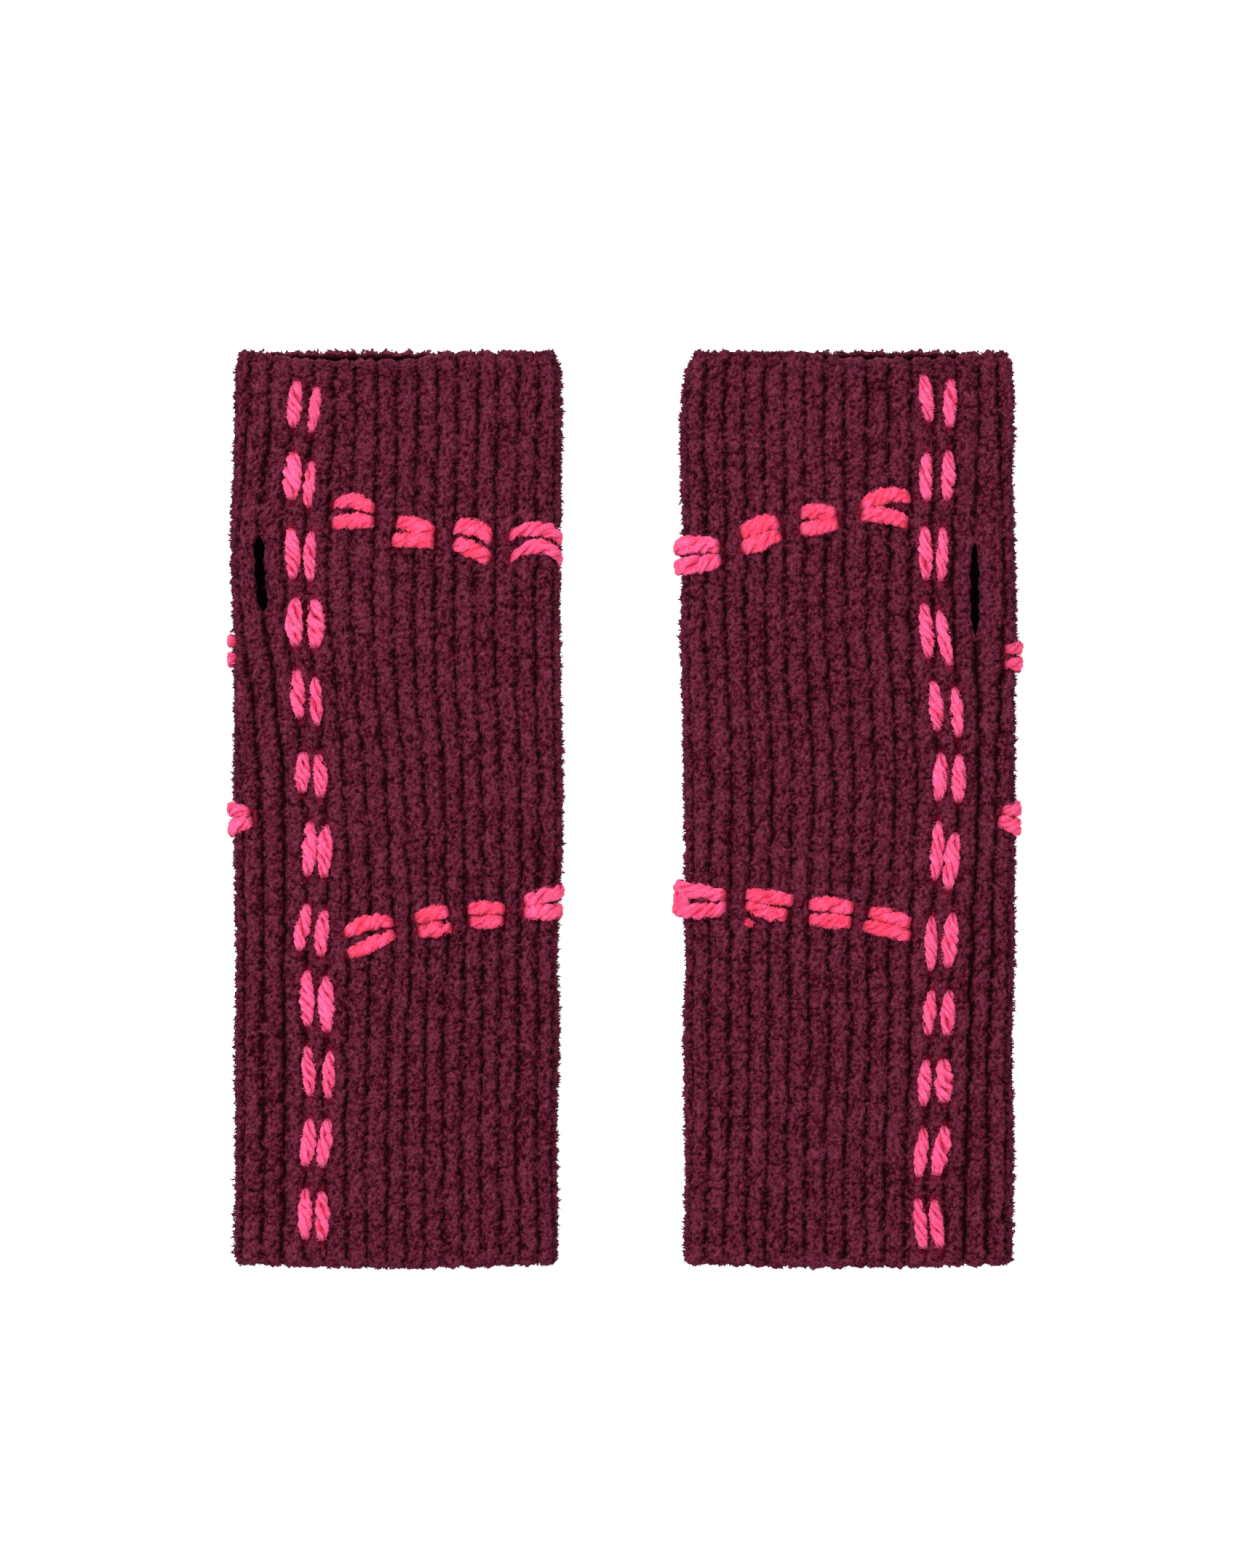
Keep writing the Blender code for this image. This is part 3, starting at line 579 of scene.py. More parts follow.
def wall_points(form, reach, y, turn, end, side, strands):
    """Points of the cloth: turn is 0 outside, half a turn inside, and between them on a rim."""
    relief, shade, own, glow = knit_relief(form, reach, y + end * RIM_BULGE * np.sin(turn), strands)
    outside = np.clip(np.cos(turn), 0, 1)
    reach = part_slit(form, reach, y, side)
    outer_across, outer_height = form.point(reach, relief * outside)
    inner_across, inner_height = form.lining_point(reach)
    share = (1 - np.cos(turn)) / 2
    across = mix(outer_across, inner_across, share)
    height = mix(outer_height, inner_height, share)
    shift = hem_shift(form.warmer, y, across, height / form.height)
    y = y + shift + end * (RIM_BULGE + 0.9 * relief) * np.sin(turn)
    # Painted shade on the inner half of each rim, and painted shadow, near black, on the lining inside the
    # tube.
    shade = shade + RIM_SHADE * np.clip((turn - RIM_LIT_TURN) / 0.6, 0, 1)
    shade = np.where(turn > 3.0, INSIDE_SHADE, shade)
    return place(form.warmer, across, y, height), np.stack([shade, own, glow])


def outside_rows():
    """y of each ring of points up the outside of the cloth."""
    low = WRIST_END + RIM_BULGE
    high = FINGER_END - RIM_BULGE
    return np.linspace(low, high, round((high - low) / ROW_STEP) + 1)


def slit_rows(warmer, outer):
    """The first and last rows that the slit splits."""
    split = np.nonzero(slit_half_width(warmer, outer) > 0.2)[0]
    return int(split[0]), int(split[-1])


def lining_rows(outer, first, last):
    """Rows of the outside that the lining has too: few, but all of them along the slit."""
    count = len(outer)
    rows = set(range(0, count, LINING_EVERY)) | set(range(first - 1, last + 2))
    rows |= {0, 2, 5, 9, count - 10, count - 6, count - 3, count - 1}
    return sorted(rows, reverse=True)


def grid_faces(rings, columns):
    """Quads between each ring and the next, all round. The last ring joins the first."""
    ring = np.arange(rings)[:, None]
    col = np.arange(columns)[None, :]
    after = (ring + 1) % rings
    beside = (col + 1) % columns
    quads = np.stack(np.broadcast_arrays(ring * columns + col, ring * columns + beside,
                                         after * columns + beside, after * columns + col), axis=-1)
    return quads


def make_mesh(name, points, faces, material, facing, shades=None):
    """A smooth-shaded object. Faces are turned over on the warmer that is mirrored."""
    if facing < 0:
        faces = [face[::-1] for face in faces]
    mesh = bpy.data.meshes.new(name)
    mesh.from_pydata(points.tolist(), [], faces)
    for key, values in (shades or {}).items():
        layer = mesh.attributes.new(key, "FLOAT", "POINT")
        layer.data.foreach_set("value", np.asarray(values, dtype=np.float32))
    mesh.materials.append(material)
    mesh.shade_smooth()
    item = bpy.data.objects.new(name, mesh)
    bpy.context.scene.collection.objects.link(item)
    return item


def make_cloth(warmer, strands, material):
    """The tube of ribbed cloth as one closed wall, with its slit."""
    outer = outside_rows()
    first, last = slit_rows(warmer, outer)
    inner_rows = lining_rows(outer, first, last)
    rim = np.arange(1, RIM_RINGS + 1) * math.pi / (RIM_RINGS + 1)
    y = np.concatenate([outer, np.full(RIM_RINGS, outer[-1]), outer[inner_rows], np.full(RIM_RINGS, outer[0])])
    turn = np.concatenate([np.zeros(len(outer)), rim, np.full(len(inner_rows), math.pi), rim[::-1]])
    end = np.concatenate([np.ones(len(outer) + RIM_RINGS + len(inner_rows)), -np.ones(RIM_RINGS)])
    y, turn, end = y[:, None], turn[:, None], end[:, None]
    form = Form(warmer, y)
    reach = column_reaches(form)
    side = np.where(reach <= form.seam + 1e-6, -1.0, 1.0)
    points, tones = wall_points(form, reach, y, turn, end, side, strands)
    rings, columns = reach.shape
    seam_column = THUMB_FOLD_COLUMNS + THUMB_PANEL_COLUMNS
    quads = grid_faces(rings, columns)

    inner_start = len(outer) + RIM_RINGS
    inner_ring = {row: inner_start + k for k, row in enumerate(inner_rows)}
    split_rows = range(first, last + 1)
    split = [(row, row) for row in split_rows] + [(row, inner_ring[row]) for row in split_rows]
    split_rings = np.array([ring for _, ring in split])
    far_points, far_tones = wall_points(
        Form(warmer, y[split_rings]), reach[split_rings][:, [seam_column]], y[split_rings],
        turn[split_rings], end[split_rings], 1.0, strands)
    far_index = {int(ring): rings * columns + k for k, ring in enumerate(split_rings)}
    for ring in range(rings):
        after = (ring + 1) % rings
        if ring in far_index:
            quads[ring, seam_column, 0] = far_index[ring]
        if after in far_index:
            quads[ring, seam_column, 3] = far_index[after]
    all_points = [points.reshape(-1, 3), far_points.reshape(-1, 3)]
    all_tones = [tones.reshape(3, -1), far_tones.reshape(3, -1)]

    # The lips: a middle line of points on each side of the slit, shared at its ends.
    count = rings * columns + len(split)
    faces = quads.reshape(-1, 4).tolist()
    lip = {}
    lip_points = []
    every = np.concatenate(all_points)
    for row in range(first - 1, last + 2):
        ends = row in (first - 1, last + 1)
        top = row * columns + seam_column
        low = inner_ring[row] * columns + seam_column
        top_far = top if ends else far_index[row]
        low_far = low if ends else far_index[inner_ring[row]]
        thumb_middle = (every[top] + every[low]) / 2
        far_middle = (every[top_far] + every[low_far]) / 2
        bulge = 0.0 if ends else LIP_BULGE * MM * warmer.facing
        thumb_middle[0] += bulge
        far_middle[0] -= bulge
        lip[row] = (top, count + len(lip_points), low, top_far,
                    count + len(lip_points) + (0 if ends else 1), low_far)
        lip_points.append(thumb_middle)
        if not ends:
            lip_points.append(far_middle)
    for row in range(first - 1, last + 1):
        here, there = lip[row], lip[row + 1]
        for k in (0, 1):
            faces.append([there[k], here[k], here[k + 1], there[k + 1]])
            faces.append([here[k + 3], there[k + 3], there[k + 4], here[k + 4]])
    faces = [list(dict.fromkeys(face)) for face in faces]
    faces = [face for face in faces if len(face) > 2]
    all_points.append(np.array(lip_points))
    # Painted shadow: the lips take the inside's shade, so they are painted near black.
    all_tones.append(np.array([[INSIDE_SHADE], [0.0], [0.0]]) + np.zeros((3, len(lip_points))))
    shade, own, glow = np.concatenate(all_tones, axis=1)
    return make_mesh(warmer.name + "_knit_cloth", np.concatenate(all_points), faces, material,
                     warmer.facing, {"shade": shade, "tone": own, "glow": glow})


def long_strands(warmer, dice):
    strands = []
    for stitch in warmer.long_line:
        for side, width in ((-0.5, stitch.thumb_width), (0.5, stitch.far_width)):
            heading = 90 + stitch.lean + 2 * side * stitch.fan
            length = stitch.length + dice.uniform(0.2, 1.2)
            strands.append(Strand(stitch.across + side * stitch.apart, stitch.y + side * stitch.slip,
                                  length, heading, dice.uniform(-0.4, 0.4), LONG_SPREAD * width,
                                  YARN_HEIGHT, YARN_LEVEL, 0.0, YARN_TIP, 0.0))
    return strands


def cross_strands(row, proud, dice):
    strands = []
    for pair in row:
        felt = EDGE_FELT if pair is row[-1] else CROSS_FELT
        for cross in pair:
            height = YARN_HEIGHT * dice.uniform(0.95, 1.1)
            strands.append(Strand(cross.across, cross.y, cross.length, cross.rise, cross.bow,
                                  cross.width, height, YARN_LEVEL, proud, CROSS_TIP, felt))
    return strands


def end_strands(pair):
    """The two strands of a cross row where it comes round the thumb fold."""
    return [Strand(end.across, end.y, end.length, end.rise, end.bow, end.width, YARN_HEIGHT,
                   YARN_LEVEL, END_PROUD, END_TIP, EDGE_FELT) for end in pair]


def dot_strand():
    """A short loose end of the yarn that shows between two ribs."""
    dot = YARN_DOT
    return Strand(dot.across, dot.y, dot.length, dot.rise, dot.bow, dot.width, DOT_HEIGHT, DOT_LEVEL,
                  0.0, YARN_TIP, CROSS_FELT)


def loop_strand(proud):
    """The yarn where the last stitch of a row turns back on the far fold."""
    loop = YARN_LOOP
    return Strand(loop.across, loop.y, loop.length, loop.rise, loop.bow, loop.width, YARN_HEIGHT,
                  YARN_LEVEL, proud, CROSS_TIP, EDGE_FELT)


def under_strands(warmer, rows_y, dice):
    """Stitches of a cross row under the warmer. They lie in the cloth, level with its underside."""
    start, finish = rows_y
    strands = []
    for share in UNDER_SHARES:
        y = start + (finish - start) * share
        form = Form(warmer, np.array(y))
        reach = float(form.under_far + form.flat * share)
        rise = math.degrees(math.atan2(finish - start, float(form.flat)))
        for side in (0.5, -0.5):
            strands.append(Strand(reach, y + side * UNDER_APART, UNDER_LENGTH + dice.uniform(-1, 1),
                                  rise + dice.uniform(-4, 4), dice.uniform(-0.5, 0.5), YARN_WIDTH,
                                  UNDER_HEIGHT, UNDER_LEVEL, 0.0, CROSS_TIP, CROSS_FELT))
    return strands


def strand_surface(warmer, strand, along, side, out):
    """Own place of points by the strand's length and their shares of its width and height."""
    heading = math.radians(strand.heading)
    swell = np.sin(math.pi * np.clip(along, 0, 1)) ** YARN_SWELL
    full = strand.tip + (1 - strand.tip) * swell
    near_end = np.clip(1 - np.minimum(along, 1 - along) / YARN_DIVE_SHARE, 0, 1)
    forward = (along - 0.5) * strand.length
    sideways = strand.bow * (1 - (2 * along - 1) ** 2) + full * strand.width / 2 * side
    reach = strand.reach + forward * math.cos(heading) - sideways * math.sin(heading)
    y = strand.y + forward * math.sin(heading) + sideways * math.cos(heading)
    form = Form(warmer, y)
    fold = np.abs(form.bends(reach)[1])
    dive = YARN_DIVE * near_end ** 1.5 * (strand.level > 0)
    lift = strand.level + strand.proud * fold - dive
    height = full * strand.height / 2 * out
    across, up = form.point(reach, lift + height)
    return place(warmer, across, y, np.maximum(up, 0.02))


def ply_faces(rings, first):
    """Faces of a closed ply whose points start at a number: quads between rings, and two caps."""
    ring = np.arange(rings - 1)[:, None] * PLY_SIDES + first
    turn = np.arange(PLY_SIDES)[None, :]
    after = (turn + 1) % PLY_SIDES
    corners = (ring + turn, ring + after, ring + PLY_SIDES + after, ring + PLY_SIDES + turn)
    quads = np.stack(np.broadcast_arrays(*corners), axis=-1).reshape(-1, 4).tolist()
    last = first + (rings - 1) * PLY_SIDES
    caps = [list(range(first, first + PLY_SIDES))[::-1], list(range(last, last + PLY_SIDES))]
    return quads + caps


def add_strand(batch, warmer, strand, dice):
    """Twisted plies of one strand, added to a batch of points and faces."""
    pitch = dice.uniform(*(CROSS_PLY_TURN if strand.felt else PLY_TURN))
    centre = mix(PLY_CENTRE, FELT_PLY_CENTRE, strand.felt)
    radius = mix(PLY_RADIUS, FELT_PLY_RADIUS, strand.felt)
    uneven = mix(PLY_ROUGH, FELT_ROUGH, strand.felt)
    start = dice.uniform(0, 2 * math.pi)
    rings = UNDER_RINGS if strand.level < 0 else PLY_RINGS
    along = np.linspace(0, 1, rings)[:, None]
    round_ply = np.arange(PLY_SIDES)[None, :] * 2 * math.pi / PLY_SIDES
    lumps = max(3, round(strand.length / PLY_LUMP))
    for ply in range(PLIES):
        turns = warmer.facing * along * strand.length / pitch
        swerve = PLY_SWERVE * np.interp(along, np.linspace(0, 1, 5), dice.uniform(-1, 1, 5))
        spin = start + 2 * math.pi * (ply / PLIES - turns) + swerve
        waves = np.interp(along, np.linspace(0, 1, lumps), dice.uniform(-1, 1, lumps))
        rough = radius * (1 + PLY_UNEVEN * waves + uneven * dice.uniform(-1, 1, (rings, PLY_SIDES)))
        side = centre * np.cos(spin) + rough * np.cos(round_ply)
        out = centre * np.sin(spin) + rough * np.sin(round_ply)
        points = strand_surface(warmer, strand, along, side, out)
        # How near a point lies to where the plies meet; the material paints shade there.
        crease = np.clip(1.1 - np.hypot(side, out), 0, 1)
        ends = np.clip(1 - np.minimum(along, 1 - along) / 0.08, 0, 1) + 0 * side
        fibre = np.broadcast_arrays(along * strand.length, round_ply * 1.2, dice.uniform(0, 99))
        batch["faces"] += ply_faces(rings, batch["count"])
        batch["points"].append(points.reshape(-1, 3))
        batch["crease"].append(crease.ravel())
        batch["ends"].append(ends.ravel())
        batch["fibre"].append(np.stack(fibre, axis=-1).reshape(-1, 3))
        batch["felt"].append(np.full(side.size, strand.felt))
        batch["count"] += side.size


def empty_batch():
    return {"points": [], "faces": [], "crease": [], "ends": [], "fibre": [], "felt": [], "count": 0}


def finish_batch(name, batch, material, facing):
    """Turn a batch of plies into one object with what its material reads."""
    shades = {key: np.concatenate(batch[key]) for key in ("crease", "ends", "felt")}
    item = make_mesh(name, np.concatenate(batch["points"]), batch["faces"], material, facing, shades)
    layer = item.data.attributes.new("fibre", "FLOAT_VECTOR", "POINT")
    layer.data.foreach_set("vector", np.concatenate(batch["fibre"]).astype(np.float32).ravel())
    return item


def make_yarn(name, warmer, strands, dice, material):
    batch = empty_batch()
    for strand in strands:
        add_strand(batch, warmer, strand, dice)
    return finish_batch(name, batch, material, warmer.facing)


def unit(vectors):
    return vectors / np.linalg.norm(vectors, axis=-1, keepdims=True)


def make_spikes(name, roots, directions, lengths, radius, material, shades, facing=1):
    """Many small three-sided spikes, joined in one object. The radius is one number or one for each."""
    radius = np.broadcast_to(radius, len(roots))[:, None]
    count = len(roots)
    helper = np.where(np.abs(directions[:, [2]]) < 0.9, [[0.0, 0.0, 1.0]], [[1.0, 0.0, 0.0]])
    first = unit(np.cross(directions, helper))
    second = np.cross(directions, first)
    corners = []
    for k in range(3):
        angle = 2 * math.pi * k / 3
        corners.append(roots + radius * MM * (math.cos(angle) * first + math.sin(angle) * second))
    tips = roots + directions * lengths[:, None] * MM
    points = np.stack(corners + [tips], axis=1)
    points[..., 2] = np.maximum(points[..., 2], 0.00002)
    start = (np.arange(count) * 4)[:, None, None]
    pattern = np.array([[0, 2, 1], [0, 1, 3], [1, 2, 3], [2, 0, 3]])[None]
    faces = (start + pattern).reshape(-1, 3).tolist()
    spread = {key: np.repeat(values, 4) for key, values in shades.items()}
    return make_mesh(name, points.reshape(-1, 3), faces, material, facing, spread)


def surface_samples(warmer, reach, y, strands):
    """Points on the cloth with their outward directions and shade, at scattered places."""
    form = Form(warmer, y)
    step = 0.35
    out, shade, own, glow = knit_relief(form, reach, y, strands)
    beside = knit_relief(form, reach + step, y, strands)[0]
    above = knit_relief(form, reach, y + step, strands)[0]
    parted = part_slit(form, reach, y, np.where(reach < form.seam, -1.0, 1.0))
    across, height = form.point(parted, out)
    y_placed = y + hem_shift(warmer, y, across, height / form.height)
    start, sideways, up = form.bends(reach)
    tilt_reach = -(beside - out) / step * 0.5
    tilt_y = -(above - out) / step * 0.5
    normal_across = sideways + tilt_reach * up
    normal_height = up - tilt_reach * sideways
    normals = unit(np.stack([warmer.facing * normal_across, tilt_y, normal_height], axis=-1))
    tones = {"shade": shade, "tone": own, "glow": glow}
    return place(warmer, across, y_placed, height), normals, tones


def nap_places(warmer, dice, count, zone):
    """Scattered places on the front, round the two folds, or on the underside."""
    y = dice.uniform(WRIST_END + 0.6, FINGER_END - 0.6, count)
    share = dice.uniform(0, 1, count)
    form = Form(warmer, y)
    if zone == "underside":
        return form.under_far + share * form.flat, y
    if zone == "folds":
        around_fold = (0.25 + 0.5 * share) * form.fold
        thumb_side = dice.uniform(0, 1, count) < 0.5
        return np.where(thumb_side, form.flat_thumb - around_fold, form.flat_far + around_fold), y
    low = form.under_thumb + 0.15 * form.fold
    high = form.under_far - 0.15 * form.fold
    return low + share * (high - low), y


def rim_samples(warmer, dice, strands):
    """Points on the two rims with their outward directions and shade, at scattered places."""
    end = np.where(dice.uniform(0, 1, NAP_ON_RIMS) < 0.5, -1.0, 1.0)
    y = np.where(end > 0, FINGER_END - RIM_BULGE, WRIST_END + RIM_BULGE)
    form = Form(warmer, y)
    reach = form.under_thumb + dice.uniform(0, 1, NAP_ON_RIMS) * form.girth
    above = (reach > form.under_thumb + form.fold / 2) & (reach < form.under_far - form.fold / 2)
    turn = dice.uniform(0, 1, NAP_ON_RIMS) * math.pi * np.where(above, 0.25, 0.56)
    points, (shade, own, glow) = wall_points(form, reach, y, turn, end, 0.0, strands)
    start, sideways, up = form.bends(reach)
    outward = np.cos(turn)
    normals = np.stack([warmer.facing * sideways * outward, end * np.sin(turn), up * outward], axis=-1)
    return points, unit(normals), {"shade": 0.5 * shade, "tone": own, "glow": glow}


def make_nap(warmer, strands, dice, material):
    """The short pile of the chenille: spikes that stand on the nubs and lean any way."""
    zones = (("front", NAP_ON_FRONT, NAP_LENGTH, NAP_RADIUS),
             ("folds", NAP_ON_FOLDS, FOLD_NAP_LENGTH, FOLD_NAP_RADIUS),
             ("underside", NAP_BELOW, NAP_LENGTH, NAP_RADIUS))
    samples = []
    lengths = []
    radii = []
    for zone, count, length, radius in zones:
        samples.append(surface_samples(warmer, *nap_places(warmer, dice, count, zone), strands))
        lengths.append(dice.uniform(*length, count))
        radii.append(np.full(count, radius))
    samples.append(rim_samples(warmer, dice, strands))
    lengths.append(dice.uniform(*RIM_NAP_LENGTH, NAP_ON_RIMS))
    radii.append(np.full(NAP_ON_RIMS, RIM_NAP_RADIUS))
    tones = {key: np.concatenate([sample[2][key] for sample in samples]) for key in ("shade", "tone", "glow")}
    keep = tones["shade"] < NAP_DEEPEST
    tones = {key: values[keep] for key, values in tones.items()}
    roots = np.concatenate([sample[0] for sample in samples])[keep]
    normals = np.concatenate([sample[1] for sample in samples])[keep]
    directions = unit(normals + 0.85 * unit(dice.normal(size=roots.shape)))
    return make_spikes(warmer.name + "_knit_nap", roots - normals * 0.12 * MM, directions,
                       np.concatenate(lengths)[keep], np.concatenate(radii)[keep], material, tones)


def make_strays(warmer, strands, dice, material):
    """A few long pale fibres that lie on the cloth; their pale colour is partly their own, partly painted
    glint.
    """
    reach, y = nap_places(warmer, dice, STRAYS, "front")
    roots, normals, tones = surface_samples(warmer, reach, y, strands)
    lean = unit(dice.normal(size=roots.shape))
    directions = unit(0.35 * normals + lean - normals * np.sum(lean * normals, axis=-1, keepdims=True))
    lengths = dice.uniform(*STRAY_LENGTH, len(roots))
    return make_spikes(warmer.name + "_stray_fibres", roots + normals * 0.1 * MM, directions, lengths,
                       STRAY_RADIUS, material, tones)


def make_fuzz(warmer, strands, dice, material):
    """Loose fibres round the pink yarn."""
    roots = []
    directions = []
    felt = np.repeat([strand.felt for strand in strands], FUZZ_EACH)
    for strand in strands:
        along = dice.uniform(0.03, 0.97, FUZZ_EACH)
        angle = dice.uniform(-0.25 * math.pi, 1.25 * math.pi, FUZZ_EACH)
        root = strand_surface(warmer, strand, along, 0.88 * np.cos(angle), 0.88 * np.sin(angle))
        outer = strand_surface(warmer, strand, along, 1.6 * np.cos(angle), 1.6 * np.sin(angle))
        roots.append(root)
        directions.append(outer - root + 1e-6)
    roots = np.concatenate(roots)
    directions = unit(unit(np.concatenate(directions)) + 0.9 * unit(dice.normal(size=roots.shape)))
    lengths = dice.uniform(*FUZZ_LENGTH, len(roots))
    count = len(roots)
    return make_spikes(warmer.name + "_yarn_fuzz", roots, directions, lengths, FUZZ_RADIUS, material,
                       {"crease": np.full(count, 0.1), "ends": np.zeros(count), "felt": felt})


def new_material(name):
    material = bpy.data.materials.new(name)
    material.use_nodes = True
    tree = material.node_tree
    return material, tree, tree.nodes["Principled BSDF"]


def add_noise(tree, scale, detail, vector=None):
    noise = tree.nodes.new("ShaderNodeTexNoise")
    noise.inputs["Scale"].default_value = scale
    noise.inputs["Detail"].default_value = detail
    if vector is None:
        coordinates = tree.nodes.new("ShaderNodeTexCoord")
        vector = coordinates.outputs["Object"]
    tree.links.new(vector, noise.inputs["Vector"])
    return noise.outputs["Fac"]


def add_attribute(tree, name, kind="Fac"):
    node = tree.nodes.new("ShaderNodeAttribute")
    node.attribute_name = name
    return node.outputs[kind]


def add_range(tree, value, low, high, to_low=0.0, to_high=1.0):
    node = tree.nodes.new("ShaderNodeMapRange")
    for socket, number in (("From Min", low), ("From Max", high), ("To Min", to_low), ("To Max", to_high)):
        node.inputs[socket].default_value = number
    tree.links.new(value, node.inputs["Value"])
    return node.outputs["Result"]


def add_mix(tree, share, first, second):
    """Mix two colours. Each may be a colour or a socket."""
    node = tree.nodes.new("ShaderNodeMix")
    node.data_type = "RGBA"
    tree.links.new(share, node.inputs["Factor"])
    for socket, value in ((node.inputs[6], first), (node.inputs[7], second)):
        if isinstance(value, tuple):
            socket.default_value = value
        else:
            tree.links.new(value, socket)
    return node.outputs[2]


def add_bump(tree, shader, height, distance, strength):
    bump = tree.nodes.new("ShaderNodeBump")
    bump.inputs["Distance"].default_value = distance
    bump.inputs["Strength"].default_value = strength
    tree.links.new(height, bump.inputs["Height"])
    tree.links.new(bump.outputs["Normal"], shader.inputs["Normal"])


def add_math(tree, operation, first, second):
    """Two values, each a number or a socket, put together."""
    node = tree.nodes.new("ShaderNodeMath")
    node.operation = operation
    for socket, value in zip(node.inputs, (first, second)):
        if isinstance(value, float):
            socket.default_value = value
        else:
            tree.links.new(value, socket)
    return node.outputs["Value"]


def add_cells(tree, scale, vector):
    """Distance from the middle of the nearest of many scattered nubs."""
    cells = tree.nodes.new("ShaderNodeTexVoronoi")
    cells.inputs["Scale"].default_value = scale
    tree.links.new(vector, cells.inputs["Vector"])
    return cells.outputs["Distance"]


def add_warp(tree, scale, size):
    """Object coordinates, shaken by noise so that nothing on them looks regular."""
    coordinates = tree.nodes.new("ShaderNodeTexCoord").outputs["Object"]
    noise = tree.nodes.new("ShaderNodeTexNoise")
    noise.inputs["Scale"].default_value = scale
    noise.inputs["Detail"].default_value = 2.0
    tree.links.new(coordinates, noise.inputs["Vector"])
    warp = tree.nodes.new("ShaderNodeVectorMath")
    warp.operation = "MULTIPLY_ADD"
    warp.inputs[1].default_value = (size, size, size)
    tree.links.new(noise.outputs["Color"], warp.inputs[0])
    tree.links.new(coordinates, warp.inputs[2])
    return warp.outputs["Vector"]


def add_ramp(tree, value, stops):
    node = tree.nodes.new("ShaderNodeValToRGB")
    for place_at, colour in stops[1:-1]:
        node.color_ramp.elements.new(place_at)
    for element, (place_at, colour) in zip(node.color_ramp.elements, stops):
        element.position = place_at
        element.color = colour
    tree.links.new(value, node.inputs["Fac"])
    return node.outputs["Color"]


def make_cloth_material(name, lift):
    """Chenille: wine red nubs of uneven tone, painted shade near black between them and in the valleys,
    painted light on nub tops and folds, a painted pink glow round the yarn, painted shadow inside the tube,
    and a soft sheen.
    """
    material, tree, shader = new_material(name)
    warped = add_warp(tree, 420.0, 0.0012)
    # Nub centres lighter and their edges darker: painted light and painted shade on the nubs; the same values
    # shape the bump.
    nub = add_range(tree, add_cells(tree, 700.0, warped), 0.12, 0.72, 1.0, 0.0)
    small_nub = add_range(tree, add_cells(tree, 1000.0, warped), 0.1, 0.7, 1.0, 0.0)
    fluff = add_range(tree, add_noise(tree, 1000.0, 4.0), 0.32, 0.68)
    patches = add_range(tree, add_noise(tree, 120.0, 3.0), 0.3, 0.7, -0.06, 0.06)
    swells = add_range(tree, add_noise(tree, 28.0, 2.0), 0.3, 0.7, -0.03, 0.03)
    patches = add_math(tree, "ADD", patches, swells)
    tone = add_range(tree, add_attribute(tree, "tone"), 0.0, 1.0, -0.12, 0.12)
    height = add_math(tree, "ADD", add_math(tree, "MULTIPLY", nub, 0.34),
                      add_math(tree, "MULTIPLY", small_nub, 0.32))
    height = add_math(tree, "ADD", height, add_math(tree, "MULTIPLY", fluff, 0.42))
    level = add_math(tree, "ADD", height, add_math(tree, "ADD", patches, tone))
    shade = add_math(tree, "MULTIPLY", add_attribute(tree, "shade"), SHADE_GAIN)
    level = add_math(tree, "SUBTRACT", add_math(tree, "ADD", level, lift), shade)
    # The ramp: painted shade at its deep end, painted light at its light end, the cloth's own tone between.
    stops = ((0.0, CLOTH_DEEP_SHADE), (0.25, CLOTH_DARK), (0.5, CLOTH_BASE), (0.85, CLOTH_LIGHT))
    colour = add_ramp(tree, level, stops)
    # Painted light: the pink glow round the yarn and at its holes.
    glow = add_range(tree, add_attribute(tree, "glow"), 0.1, 1.0, 0.0, 0.8)
    colour = add_mix(tree, glow, colour, CLOTH_GLOW)
    # Painted shadow: the lining inside the tube and the slit's lips turn near black.
    inside = add_range(tree, add_attribute(tree, "shade"), 1.3, 1.8)
    colour = add_mix(tree, inside, colour, CLOTH_INSIDE_SHADOW)
    tree.links.new(colour, shader.inputs["Base Color"])
    shader.inputs["Roughness"].default_value = 0.95
    shader.inputs["Specular IOR Level"].default_value = 0.02
    shader.inputs["Sheen Weight"].default_value = 0.05
    shader.inputs["Sheen Roughness"].default_value = 0.4
    shader.inputs["Sheen Tint"].default_value = CLOTH_SHEEN
    add_bump(tree, shader, height, 0.0012, 0.9)
    return material


